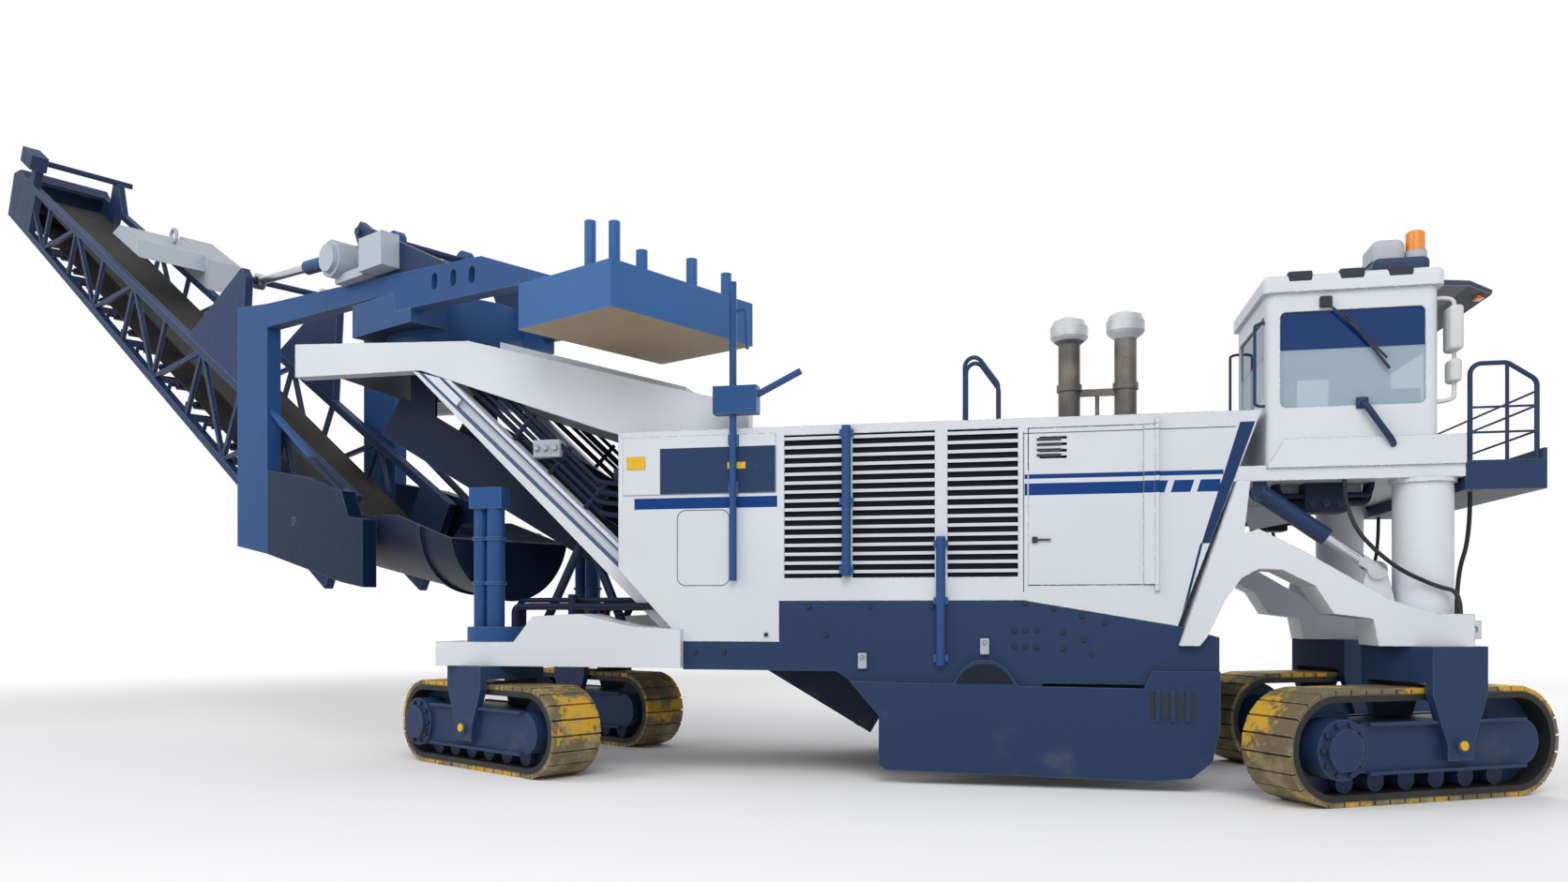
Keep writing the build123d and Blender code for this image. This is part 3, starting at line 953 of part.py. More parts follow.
for x, radius, short in REAR_COLUMNS:
    at = (REAR_PIVOT + x, GAUGE / 2)
    rear_column.append(rod((*at, REAR_ARM_TOP), (*at, REAR_COLUMN_TOP - short), radius))
    for height in COLUMN_RINGS:
        ring_low = REAR_ARM_TOP + height
        rear_column.append(rod((*at, ring_low), (*at, ring_low + RING_HIGH), radius + RING_PROUD))
rear_column.append(block(
    (REAR_PIVOT + COLUMN_HEAD["rear"], GAUGE / 2 - COLUMN_HEAD["half"],
     REAR_COLUMN_TOP - COLUMN_HEAD["depth"]),
    (REAR_PIVOT + COLUMN_HEAD["front"], GAUGE / 2 + COLUMN_HEAD["half"], REAR_COLUMN_TOP)))
parts["rear_columns"] = both_sides(fuse(rear_column))


# Boom beams with the conveyor cover between them, and the struts that carry them
beam_outline = [(BEAM_REAR, BEAM_LOW), (SLEW_X + BEAM_KNEE[0], BEAM_KNEE[1]),
                (TOWER_REAR + BEAM_HEEL[0], BEAM_HEEL[1]),
                (TOWER_REAR, HOOD_TOP), (BEAM_FRONT, HOOD_TOP), (BEAM_FRONT, BEAM_TOE),
                (SLEW_X + BEAM_BEND[0], BEAM_BEND[1]), (BEAM_REAR, RING_SEAT)]
beams = both_sides(slab(beam_outline, *BEAM_HALF))


def beam_top_at(x):
    """Height of the beams' sloping upper edge."""
    bend_x = SLEW_X + BEAM_BEND[0]
    share = (x - bend_x) / (BEAM_FRONT - bend_x)
    return BEAM_BEND[1] + (BEAM_TOE - BEAM_BEND[1]) * share


cover_x = (SLEW_X + COVER["rear"], BEAM_FRONT + COVER["front"] + STRUT_BACK)
cover_z = [beam_top_at(x) + proud for x, proud in zip(cover_x, COVER["proud"])]


def cover_slab(depth, low, high):
    return slab([(cover_x[0], cover_z[0]), (cover_x[1], cover_z[1]), (cover_x[1], cover_z[1] - depth),
                 (cover_x[0], cover_z[0] - depth)], low, high)


cover = [cover_slab(COVER["thick"], -BEAM_HALF[0], BEAM_HALF[0])]
for side in (-1, 1):
    cover.append(cover_slab(COVER["skirt"], *outward(side, BEAM_HALF[0] - COVER["thick"], BEAM_HALF[0])))
parts["boom_beams"] = fuse([*beams.solids(), *cover])
strut_foot_x = HOOD_REAR - STRUT_BACK
strut_outline = [*[(SLEW_X + x, z) for x, z in STRUT_TOP], (strut_foot_x, STRUT_FOOT[0]),
                 (strut_foot_x, STRUT_FOOT[1])]
strut = slab(strut_outline, *BEAM_HALF) - parts["boom_beams"] - parts["engine_hood"] - parts["rear_arms"]
strut = max(strut.solids(), key=lambda s: s.volume)
strut_way = Vector(strut_foot_x - SLEW_X - STRUT_TOP[1][0], 0, STRUT_FOOT[0] - STRUT_TOP[1][1]).normalized()
rim, depth = STRUT_POCKET["rim"], STRUT_POCKET["depth"]
upper = Vector(SLEW_X + STRUT_TOP[1][0], 0, STRUT_TOP[1][1])
lower_edge = Vector(SLEW_X + STRUT_TOP[0][0], 0, STRUT_TOP[0][1])
square = Vector(-strut_way.Z, 0, strut_way.X)
strut_deep = abs((lower_edge - upper).dot(square))
pocket_from = upper + strut_way * 4 * rim - square * rim
pocket_to = upper + strut_way * ((Vector(strut_foot_x, 0,
                                         STRUT_FOOT[0]) - upper).length - 12 * rim) - square * rim
pocket_down = -square * (strut_deep - 2 * rim)
pocket_points = [pocket_from, pocket_to, pocket_to + pocket_down, pocket_from + pocket_down]
pocket = slab([(point.X, point.Z) for point in pocket_points], BEAM_HALF[1] - depth, BEAM_HALF[1])
parts["boom_struts"] = both_sides(strut - pocket)

ring_low, ring_axis = RING_SEAT - RING_DECK, (SLEW_X, 0)
slew_ring = fuse([
    block((BEAM_REAR + RING_PLATE, -BEAM_HALF[0], ring_low),
          (SLEW_X + RING_APRON, BEAM_HALF[0], RING_SEAT - RING_PLATE)),
    rod((*ring_axis, ring_low), (*ring_axis, RING_TOP), RING_RADIUS)])
slew_ring -= rod((*ring_axis, ring_low), (*ring_axis, RING_TOP), KINGPIN_RADIUS + SEAT)
parts["slew_ring"] = slew_ring - parts["boom_beams"]


# Primary conveyor: a trough hung from the slewing deck and held by a cross tube in the main frame
trough_low, trough_top = -PRIMARY_DEPTH / 2, PRIMARY_DEPTH / 2 + PRIMARY_RAISE
wall_inner = PRIMARY_HALF - PRIMARY_WALL
primary = [primary_slab(2 * PRIMARY_PULLEY, PRIMARY_LENGTH - 2 * PRIMARY_PULLEY, trough_low,
                        trough_low + PRIMARY_FLOOR,
                        -PRIMARY_HALF, PRIMARY_HALF)]
for side in (-1, 1):
    inner, outer = outward(side, wall_inner, PRIMARY_HALF)
    primary.append(primary_slab(0, PRIMARY_LENGTH, trough_low, trough_top, inner, outer))
    primary.append(primary_slab(SKIRT["from"], SKIRT["to"], trough_top, trough_top + SKIRT["height"], inner,
                                outer))
    primary.append(block((SLEW_X - HANGER_HALF, inner, PRIMARY_HEAD[1] - PRIMARY_DEPTH),
                         (SLEW_X + HANGER_HALF, outer, ring_low)))
x, z = along_primary(TRUNNION_AT, -TRUNNION_RADIUS - BELT / 2)
primary.append(cross_rod(x, z, -TUNNEL_HALF, TUNNEL_HALF, TRUNNION_RADIUS))
parts["primary_conveyor"] = fuse(primary)
belt_half = wall_inner - BELT_EDGE
primary_belt = primary_slab(BELT_END, PRIMARY_LENGTH - BELT_END, 0, BELT, -belt_half, belt_half)
for distance in (PRIMARY_PULLEY, PRIMARY_LENGTH - PRIMARY_PULLEY):
    x, z = along_primary(distance, BELT - PRIMARY_PULLEY + PULLEY_LIFT)
    primary_belt += cross_rod(x, z, -wall_inner, wall_inner, PULLEY_CORE)
parts["primary_belt"] = primary_belt


# Service mast at the rear corner of the hood, and two pipes clipped to the right side
mast_x, mast_y = MAST["x"], MAST["y"]
mast = [rod((mast_x, mast_y, MAST["low"]), (mast_x, mast_y, MAST["top"]), MAST["radius"])]
for z in MAST_CLAMPS:
    clamp_face = -HALF_WIDTH - REAR_PANEL["proud"] * (REAR_PANEL["low"] < z < REAR_PANEL["top"])
    mast.append(block((mast_x - CLAMP_HALF, mast_y, z - CLAMP_HALF),
                      (mast_x + CLAMP_HALF, clamp_face, z + CLAMP_HALF)))
mast.append(block((mast_x + MAST_HEAD["rear"], mast_y - MAST_HEAD["half"], MAST_HEAD["low"]),
                  (mast_x + MAST_HEAD["front"], mast_y + MAST_HEAD["half"], MAST_HEAD["top"])))
(lever_x0, lever_z0), (lever_x1, lever_z1) = MAST_LEVER["from"], MAST_LEVER["to"]
mast.append(rod((mast_x + lever_x0, mast_y, lever_z0), (mast_x + lever_x1, mast_y, lever_z1),
                MAST_LEVER["radius"]))
mast.append(tube([(mast_x + x, mast_y, z) for x, z in MAST_HOOK], MAST["radius"] / 2, MAST["radius"]))
pipes = []
pipe_y = -HALF_WIDTH - PIPE_RADIUS
for x, low, top in PIPES:
    pipe = [rod((x, pipe_y, low), (x, pipe_y, top), PIPE_RADIUS)]
    for z in (low + PIPE_CLIP, (low + top) / 2, top - PIPE_CLIP):
        pipe.append(block((x - PIPE_CLIP, pipe_y, z - PIPE_CLIP / 2),
                          (x + PIPE_CLIP, -HALF_WIDTH, z + PIPE_CLIP / 2)))
    pipes.append(fuse(pipe))
parts["service_mast"] = group([fuse(mast), *pipes])


# Slewing unit: turntable, portal, counterweight and hopper

def behind(reach, z, y=0.0):
    """Point at a distance behind the slewing axis while the unit looks straight back."""
    return (SLEW_X - reach, y, z)


def reach_slab(outline, low, high):
    """Side outline of (distance behind the slewing axis, z) points, between two y planes."""
    return slab([(SLEW_X - reach, z) for reach, z in outline], low, high)


def parked(piece):
    return piece.rotate(Axis((SLEW_X, 0, 0), (0, 0, 1)), SLEW_PARKED)


weight = COUNTERWEIGHT
beam_tip = -weight["near"] - BEAM_ON_WEIGHT
portal_outline = PORTAL_LINE + [(beam_tip, weight["top"] + BEAM_TIP), (beam_tip, weight["top"]),
                                (-weight["near"], weight["top"])] + PORTAL_UNDER
portal_side = reach_slab(portal_outline, *PORTAL_HALF)
for reach, z in PORTAL_HOLES:
    slot = Plane(behind(reach, z, PORTAL_HALF[1]), x_dir=(0, 0, 1),
                 z_dir=(0, -1, 0)) * SlotOverall(*PORTAL_HOLE)
    portal_side -= extrude(slot, PORTAL_HALF[1] - PORTAL_HALF[0])
portal_middle = sum(PORTAL_HALF) / 2
portal_side += rod(behind(*PORTAL_BRACE["from"], portal_middle), behind(*PORTAL_BRACE["to"], portal_middle),
                   PORTAL_BRACE["radius"])
pivot_bore = cross_rod(SLEW_X - LUFF_REACH, LUFF_Z, *PORTAL_HALF, PIVOT_RADIUS + PIN_PLAY)
portal_frame = both_sides(portal_side - pivot_bore)
parts["portal_frame"] = parked(portal_frame)

turntable = fuse([
    rod(behind(0, RING_TOP + SEAT), behind(0, TURNTABLE_TOP), RING_RADIUS - TURNTABLE_INSET),
    block(behind(TURNTABLE_HALF, RING_TOP + TURNTABLE_RISE, -PORTAL_HALF[1]),
          behind(-TURNTABLE_HALF, TURNTABLE_TOP, PORTAL_HALF[1])),
    rod(behind(0, RING_SEAT - KINGPIN_DROP), behind(0, RING_TOP + KINGPIN_RISE), KINGPIN_RADIUS)])
parts["turntable"] = parked(turntable - portal_frame)

ballast = block(behind(-weight["near"], weight["low"], -weight["half"]),
                behind(-weight["far"], weight["top"], weight["half"]))
ballast = fillet(ballast.edges().filter_by(Axis.Z), weight["round"])
stubs = [rod(behind(reach, weight["top"] - STUB_RADIUS, y), behind(reach, weight["top"] + height, y),
             STUB_RADIUS)
         for reach, y, height in STUBS]
parts["counterweight"] = parked(fuse([ballast, *stubs]))


# Hopper: a half-round tub between the portal's arms, under the primary conveyor's head

def tub_pipe(front_end, rear_end, radius):
    """Round bar along the tub's sloping axis."""
    ends = [(reach, TUB["axis_front"] + TUB["slope"] * (reach - TUB["front"])) for reach in (front_end,
                                                                                             rear_end)]
    return rod(behind(*ends[0]), behind(*ends[1]), radius)


tub_far = TUB["rear"] + TUB["radius"]
tub_cut = reach_slab([(TUB["front"], TUB["low"]), TUB_TOP[0], *TUB_TOP[1:], *TUB_REAR,
                      (TUB_REAR[-1][0], TUB["low"])],
                     -2 * TUB["radius"], 2 * TUB["radius"])
tub = tub_pipe(TUB["front"] - TUB["radius"], tub_far, TUB["radius"])
tub_ribs = [tub_pipe(reach, reach + RIB["width"],
                     TUB["radius"] - SEAT + RIB["proud"]) for reach in TUB_RIBS[:1]]
tub = (fuse([tub, *tub_ribs]) & tub_cut) - tub_pipe(TUB["front"] + TUB["wall"], tub_far,
                                                    TUB["radius"] - TUB["wall"])
tub = max(tub.solids(), key=lambda s: s.volume)
rims = [block(behind(TUB_RIM["rear"], TUB_RIM["low"],
                     outward(side, PORTAL_HALF[0] - TUB_RIM["inset"], PORTAL_HALF[0])[0]),
              behind(TUB_RIM["front"], TUB_TOP[1][1],
                     outward(side, PORTAL_HALF[0] - TUB_RIM["inset"], PORTAL_HALF[0])[1]))
        for side in (-1, 1)]
parts["hopper"] = parked(fuse([tub, *rims]))


# Luffing gantry on the portal, with the winch unit on its right side
gantry_cap = [(LUFF_GANTRY[0] + x, LUFF_GANTRY[1] + z) for x, z in GANTRY_CAP]
gantry_line = [(GANTRY_FOOT[0], GANTRY_FOOT_Z), *gantry_cap, (GANTRY_FOOT[1], GANTRY_FOOT_Z)]
gantry_outer = PORTAL_HALF[1] - GANTRY_INSET
gantry = [reach_slab(gantry_line,
                     *outward(side, PORTAL_HALF[0] + GANTRY_INSET, gantry_outer)) for side in (-1, 1)]
gantry.append(rod(behind(*LUFF_GANTRY, -PORTAL_HALF[1]), behind(*LUFF_GANTRY, PORTAL_HALF[1]), LUFF_PIN))
parts["luff_gantry"] = parked(fuse(gantry) - portal_frame)

drum_end = -gantry_outer - WINCH["out"]
winch_box = block(behind(WINCH_BOX["far"], WINCH_BOX["low"], -gantry_outer - WINCH_BOX["out"]),
                  behind(WINCH_BOX["near"], WINCH_BOX["top"], -gantry_outer))
winch_step = block(behind(WINCH_STEP["far"], WINCH_STEP["low"], -gantry_outer - WINCH_STEP["out"]),
                   behind(WINCH_STEP["near"], WINCH_STEP["top"], -gantry_outer))
winch_drum = rod(behind(WINCH["reach"], WINCH["z"], drum_end),
                 behind(WINCH["reach"], WINCH["z"], -gantry_outer),
                 WINCH["radius"])
winch_cap = rod(behind(WINCH["reach"], WINCH["z"], drum_end - WINCH["cap_out"]),
                behind(WINCH["reach"], WINCH["z"], drum_end),
                WINCH["cap"])
parts["winch_unit"] = parked(fuse([winch_drum, winch_cap, winch_step, winch_box]) - portal_frame)


# Discharge conveyor, laid out along its own axis from the luffing pivot

def along_truss(distance, height, y=0.0):
    """Point on the conveyor: distance from the luffing pivot along its axis, and height square to it."""
    c, s = math.cos(math.radians(LUFF_ANGLE)), math.sin(math.radians(LUFF_ANGLE))
    return behind(LUFF_REACH + distance * c - height * s, LUFF_Z + distance * s + height * c, y)


def truss_slab(outline, low, high):
    points = [along_truss(distance, height) for distance, height in outline]
    return slab([(x, z) for x, _, z in points], low, high)


def low_edge(distance):
    """Height of the lower chord's middle."""
    return TRUSS_LOW + (TRUSS_HEAD_LOW - TRUSS_LOW) * distance / TRUSS_LENGTH


def high_edge(distance):
    """Height of the upper chord's middle."""
    return TRUSS_HIGH + (TRUSS_HEAD_HIGH - TRUSS_HIGH) * distance / TRUSS_LENGTH


def truss_side(stations):
    """The left side: two chords with posts and diagonals between them."""
    inner, outer = TRUSS_HALF - CHORD, TRUSS_HALF
    start, end = TRUSS_TAIL, TRUSS_LENGTH
    side = []
    for chord in (low_edge, high_edge):
        a, b = chord(start), chord(end)
        side.append(truss_slab([(start, a - CHORD / 2), (end, b - CHORD / 2), (end, b + CHORD / 2),
                                (start, a + CHORD / 2)], inner, outer))
    middle = (inner + outer) / 2
    for distance in stations:
        side.append(bar(along_truss(distance, low_edge(distance), middle),
                        along_truss(distance, high_edge(distance), middle), LACING, LACING))
    for k, (here, after) in enumerate(zip(stations, stations[1:])):
        from_edge, to_edge = (high_edge, low_edge) if k % 2 else (low_edge, high_edge)
        side.append(bar(along_truss(here, from_edge(here), middle),
                        along_truss(after, to_edge(after), middle),
                        LACING, LACING))
    for first, last in ((start, start + END_PLATE), (end - END_PLATE, end)):
        plate = [(first, low_edge(first)), (last, low_edge(last)), (last, high_edge(last)),
                 (first, high_edge(first))]
        side.append(truss_slab(plate, inner, outer))
    return fuse(side)


def head_frame():
    """Cross tube over the head with a block on its right end and a gusset on its left end."""
    at, height = TRUSS_LENGTH + HEAD_FRAME["at"], HEAD_FRAME["height"]
    block_line = [(TRUSS_LENGTH + d, h) for d in (HEAD_BLOCK["rear"], HEAD_BLOCK["front"])
                  for h in (HEAD_BLOCK["low"], HEAD_BLOCK["top"])]
    neck = [(TRUSS_LENGTH + HEAD_NECK[0], high_edge(at)), (TRUSS_LENGTH + HEAD_NECK[1], high_edge(at)),
            (TRUSS_LENGTH + HEAD_NECK[1], height), (TRUSS_LENGTH + HEAD_NECK[0], height)]
    gusset = [(TRUSS_LENGTH + d, h) for d, h in HEAD_GUSSET]
    return [
        rod(along_truss(at, height, HEAD_FRAME["near"]), along_truss(at, height, HEAD_FRAME["far"]),
            HEAD_FRAME["tube"]),
        truss_slab([block_line[0], block_line[2], block_line[3], block_line[1]], HEAD_BLOCK["near"],
                   HEAD_BLOCK["far"]),
        truss_slab(neck, -TRUSS_HALF, HEAD_BLOCK["far"]),
        truss_slab(gusset, TRUSS_HALF - CHORD, TRUSS_HALF)]


def conveyor_truss():
    stations = [(TRUSS_LENGTH - CHORD / 2) * k / PANEL_COUNT for k in range(PANEL_COUNT + 1)]
    left = truss_side(stations)
    pieces = [left, mirror(left, Plane.XZ)]
    half = CROSS_TUBE / 2
    for distance in stations:
        low = low_edge(distance)
        pieces.append(truss_slab([(distance - half, low - half), (distance + half, low - half),
                                  (distance + half, low + half), (distance - half, low + half)],
                                 -TRUSS_HALF, TRUSS_HALF))
    pivot = rod(along_truss(0, 0, -PORTAL_HALF[1]), along_truss(0, 0, PORTAL_HALF[1]), PIVOT_RADIUS)
    return fuse([*pieces, pivot, *head_frame()])


parts["conveyor_truss"] = parked(conveyor_truss())


def belt_loop(start, end, height, radius, half):
    """Endless belt round two pulleys of the conveyor, all across from -half to half."""
    middle = along_truss((start + end) / 2, height, half)
    way = Vector(*along_truss(1, 0)) - Vector(*along_truss(0, 0))
    plane = Plane(middle, x_dir=way, z_dir=(0, -1, 0))
    outer = SlotCenterToCenter(end - start, 2 * (radius + BELT))
    inner = SlotCenterToCenter(end - start, 2 * (radius + SEAT))
    return extrude(plane * (outer - inner), 2 * half)


pulley_height = BELT_LINE - CONVEYOR_PULLEY
pulley_places = (TRUSS_TAIL + CONVEYOR_PULLEY + PULLEY_INSET, TRUSS_LENGTH - CONVEYOR_PULLEY - PULLEY_INSET)
parts["conveyor_belt"] = parked(belt_loop(*pulley_places, pulley_height, CONVEYOR_PULLEY, BELT_HALF))
pulley_half = TRUSS_HALF - CHORD
pulleys = [rod(along_truss(d, pulley_height, -pulley_half), along_truss(d, pulley_height, pulley_half),
               CONVEYOR_PULLEY)
           for d in pulley_places]
parts["conveyor_pulleys"] = parked(group(pulleys))

# Head chute, drive unit and luffing mast on the conveyor
head_low, head_high = TRUSS_HEAD_LOW, TRUSS_HEAD_HIGH
chute = truss_slab([(TRUSS_LENGTH, head_low - CHUTE_EDGE),
                    *[(TRUSS_LENGTH + d, head_low + h) for d, h in CHUTE_OUTER],
                    (TRUSS_LENGTH, head_high + CHUTE_EDGE)], -TRUSS_HALF, TRUSS_HALF)
chute -= truss_slab([(TRUSS_LENGTH, head_low - CHUTE_EDGE),
                     *[(TRUSS_LENGTH + d, head_low + h) for d, h in CHUTE_INNER],
                     (TRUSS_LENGTH, head_high)], -TRUSS_HALF + CHUTE_WALL, TRUSS_HALF - CHUTE_WALL)
parts["head_chute"] = parked(chute)

drive_low = [high_edge(DRIVE["rear"]) + CHORD / 2, high_edge(DRIVE["front"]) + CHORD / 2]
drive = truss_slab([(DRIVE["rear"], drive_low[0]), (DRIVE["front"], drive_low[1]),
                    (DRIVE["front"] - DRIVE["slope"], drive_low[1] + DRIVE["rise"]),
                    (DRIVE["rear"] + DRIVE["slope"], drive_low[0] + DRIVE["rise"])], TRUSS_HALF - CHORD,
                    DRIVE["far"])
drive += truss_slab([(DRIVE["rear"] + DRIVE["slope"], drive_low[0] + DRIVE["rise"] / 2),
                     (DRIVE["front"] - DRIVE["slope"], drive_low[1] + DRIVE["rise"] / 2),
                     (DRIVE["front"] - 2 * DRIVE["slope"], drive_low[1] + DRIVE["rise"]),
                     (DRIVE["rear"] + 2 * DRIVE["slope"], drive_low[0] + DRIVE["rise"])], DRIVE["near"],
                     TRUSS_HALF)
ring_height = high_edge(DRIVE_RING["at"]) + CHORD / 2 + DRIVE["rise"] + DRIVE_RING["radius"]
ring_plane = Plane(along_truss(DRIVE_RING["at"], ring_height, DRIVE_RING["y"]), z_dir=(0, 1, 0))
drive += ring_plane * Torus(DRIVE_RING["radius"], DRIVE_RING["tube"])
parts["drive_unit"] = parked(drive)

pin_x, _, pin_z = behind(*LUFF_EYE)
mast_foot = [along_truss(d, high_edge(d) + CHORD / 2) for d in MAST_FOOT]
mast_line = [(x, z) for x, _, z in mast_foot] + [(pin_x + x, pin_z + z) for x, z in MAST_BEAK]
luff_mast = [slab(mast_line, *outward(side, TRUSS_HALF - CHORD, TRUSS_HALF)) for side in (-1, 1)]
luff_mast.append(cross_rod(pin_x, pin_z, -TRUSS_HALF, TRUSS_HALF, LUFF_PIN))
parts["luff_mast"] = parked(fuse(luff_mast))


# Luffing cylinders: two barrels on the gantry's pin, two rods that reach to the mast's pin
pin_a, pin_b = Vector(*behind(*LUFF_GANTRY)), Vector(*behind(*LUFF_EYE))
stroke_way = (pin_b - pin_a).normalized()
stroke_reach = (pin_b - pin_a).length


def on_cylinder(distance, y):
    return tuple(pin_a + stroke_way * distance + Vector(0, y, 0))


def eye(centre, y, radius, bore, width):
    ring = cross_rod(centre.X, centre.Z, y - width / 2, y + width / 2, radius)
    return ring - cross_rod(centre.X, centre.Z, y - width, y + width, bore)


barrels, rods = [], []
for side in (-1, 1):
    y = side * LUFF_SPREAD
    barrel = rod(on_cylinder(BARREL_START, y), on_cylinder(BARREL_LENGTH, y), BARREL_RADIUS)
    barrel -= rod(on_cylinder(BARREL_BORE, y), on_cylinder(BARREL_LENGTH, y), ROD_RADIUS + PIN_PLAY)
    barrel += eye(pin_a, y, BARREL_EYE, LUFF_PIN + PIN_PLAY, BARREL_EYE_WIDTH)
    barrels.append(barrel - cross_rod(pin_a.X, pin_a.Z, y - BARREL_EYE, y + BARREL_EYE, LUFF_PIN + PIN_PLAY))
    piston = rod(on_cylinder(ROD_HIDDEN, y), on_cylinder(stroke_reach - ROD_SHORT, y), ROD_RADIUS)
    rods.append(piston.fuse(eye(pin_b, y, LUFF_PIN + EYE_ROOM + ROD_EYE_RIM, LUFF_PIN + EYE_ROOM,
                                ROD_EYE_WIDTH)))
parts["luff_barrels"] = parked(group(barrels))
parts["luff_rods"] = parked(group(rods))


# Shift to the bottom centre of the whole machine's box, and write one file per piece
boxes = [piece.bounding_box() for piece in parts.values()]
low = [min(tuple(box.min)[i] for box in boxes) for i in range(3)]
high = [max(tuple(box.max)[i] for box in boxes) for i in range(3)]
shift = (-(low[0] + high[0]) / 2, -(low[1] + high[1]) / 2, -low[2])

if __name__ == "__main__":
    os.makedirs("parts", exist_ok=True)
    for name, piece in parts.items():
        export_step(Pos(*shift) * piece, f"parts/{name}.step")
    size_text = [round(h - l) for l, h in zip(low, high)]
    print("shift", [round(v, 2) for v in shift], "box", size_text, "nodes", len(parts))
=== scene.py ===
import json
import math

import bpy
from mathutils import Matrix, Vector


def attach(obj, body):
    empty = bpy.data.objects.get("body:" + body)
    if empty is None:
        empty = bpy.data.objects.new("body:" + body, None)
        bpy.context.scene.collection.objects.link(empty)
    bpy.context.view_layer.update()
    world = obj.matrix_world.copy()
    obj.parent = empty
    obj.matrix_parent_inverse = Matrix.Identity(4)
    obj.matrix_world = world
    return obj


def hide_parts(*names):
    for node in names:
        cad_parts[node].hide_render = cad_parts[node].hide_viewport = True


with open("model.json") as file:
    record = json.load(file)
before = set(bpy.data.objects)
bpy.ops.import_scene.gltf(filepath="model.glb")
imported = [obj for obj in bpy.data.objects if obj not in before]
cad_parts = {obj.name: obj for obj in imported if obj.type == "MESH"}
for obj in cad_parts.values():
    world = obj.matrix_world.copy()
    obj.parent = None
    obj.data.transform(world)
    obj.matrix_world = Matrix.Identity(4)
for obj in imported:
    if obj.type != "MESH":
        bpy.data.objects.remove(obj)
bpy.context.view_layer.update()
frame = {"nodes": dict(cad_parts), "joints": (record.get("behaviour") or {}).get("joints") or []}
bpy.ops.object.select_all(action="DESELECT")


# The place of the machine: its zero lies on the ground, a little behind the middle of the four steering
# spindles. The slewed unit has its own line, from the slewing axis out along the discharge conveyor.
ZERO_BEHIND = 0.135
joints = {joint["name"]: joint for joint in frame["joints"]}
steered = [Vector(joint["pos_m"]) for name, joint in joints.items() if name.endswith("_steer")]
origin = sum(steered, Vector()) / len(steered) - Vector((ZERO_BEHIND, 0.0, 0.0))
slew_axis = Vector(joints["slew"]["pos_m"]) - origin
across = Vector(joints["luff"]["axis"])
heading = Vector((-across.y, across.x, 0.0))


def at(x, y, z):
    """A point of the machine, in metres forward, left and up from its own zero."""
    return origin + Vector((x, y, z))


# The camera stands level on the machine's right side at eye height, a little ahead of the middle, and is
# turned a little to the rear. Its lens is shifted up, so that uprights stay upright.
CAMERA_PLACE, CAMERA_YAW = (1.34, -14.48, 1.9), 12.2
LENS, SENSOR, RISE, FAR_CLIP = 25.84, 36.0, 0.1103, 500.0
camera = bpy.data.objects.new("camera", bpy.data.cameras.new("camera"))
bpy.context.scene.collection.objects.link(camera)
camera.location = at(*CAMERA_PLACE)
camera.rotation_euler = (math.radians(90), 0.0, math.radians(CAMERA_YAW))
camera.data.lens = LENS
camera.data.sensor_width = SENSOR
camera.data.shift_y = RISE
camera.data.clip_end = FAR_CLIP
bpy.context.scene.camera = camera


# Hydraulic hoses beside the front columns: steel-braided rubber, screwed into the deck above and into the
# arms below, two a side. Their finish needs the first expressions on a surface, so these start here.
class Wire:
    """A value that runs over a surface, and adds, scales and compares itself with wires or numbers."""

    def __init__(self, tree, socket):
        self.tree, self.socket = tree, socket

    def node(self, kind, settings=None, **sockets):
        """A node of that kind; its settings come first, then the values or links of its sockets."""
        made = self.tree.nodes.new(kind)
        for name, value in (settings or {}).items():
            setattr(made, name, value)
        for name, value in sockets.items():
            numbered = name[1:].isdigit()
            slot = made.inputs[int(name[1:]) if numbered else name.replace("_", " ")]
            if isinstance(value, Wire):
                self.tree.links.new(value.socket, slot)
            else:
                slot.default_value = value
        return made

    def math(self, operation, *values):
        """A Math node on those values."""
        made = self.node("ShaderNodeMath", {"operation": operation},
                         **{f"i{k}": value for k, value in enumerate(values)})
        return Wire(self.tree, made.outputs[0])

    def __add__(self, other):
        return self.math("ADD", self, other)

    def __radd__(self, other):
        return self.math("ADD", other, self)

    def __sub__(self, other):
        return self.math("SUBTRACT", self, other)

    def __rsub__(self, other):
        return self.math("SUBTRACT", other, self)

    def __mul__(self, other):
        return self.math("MULTIPLY", self, other)

    def __rmul__(self, other):
        return self.math("MULTIPLY", other, self)

    def __abs__(self):
        return self.math("ABSOLUTE", self)

    def at_least(self, other):
        return self.math("MAXIMUM", self, other)

    def at_most(self, other):
        return self.math("MINIMUM", self, other)

    def diagonal(self, other):
        """Length of the diagonal that two wires span as the sides of a rectangle."""
        return self.math("SQRT", self * self + other * other)

    def step(self, low, high):
        """Smoothly from 0 at low to 1 at high."""
        made = self.node("ShaderNodeMapRange", {"interpolation_type": "SMOOTHSTEP"}, Value=self,
                         From_Min=low, From_Max=high)
        return Wire(self.tree, made.outputs["Result"])

    def within(self, low, high, soft=0.003):
        """1 between low and high, 0 outside."""
        return self.step(low - soft, low + soft) - self.step(high - soft, high + soft)

    def mix(self, low, high):
        """Colour low where this is 0 and colour high where it is 1."""
        made = self.node("ShaderNodeMix", {"data_type": "RGBA"}, i0=self, i6=low, i7=high)
        return Wire(self.tree, made.outputs[2])


def rgb(red, green, blue):
    """Colour as painted, from 0 to 255, as the linear value that a shader takes."""
    def linear(c):
        c = c / 255.0
        return c / 12.92 if c <= 0.04045 else ((c + 0.055) / 1.055) ** 2.4
    return (linear(red), linear(green), linear(blue), 1.0)


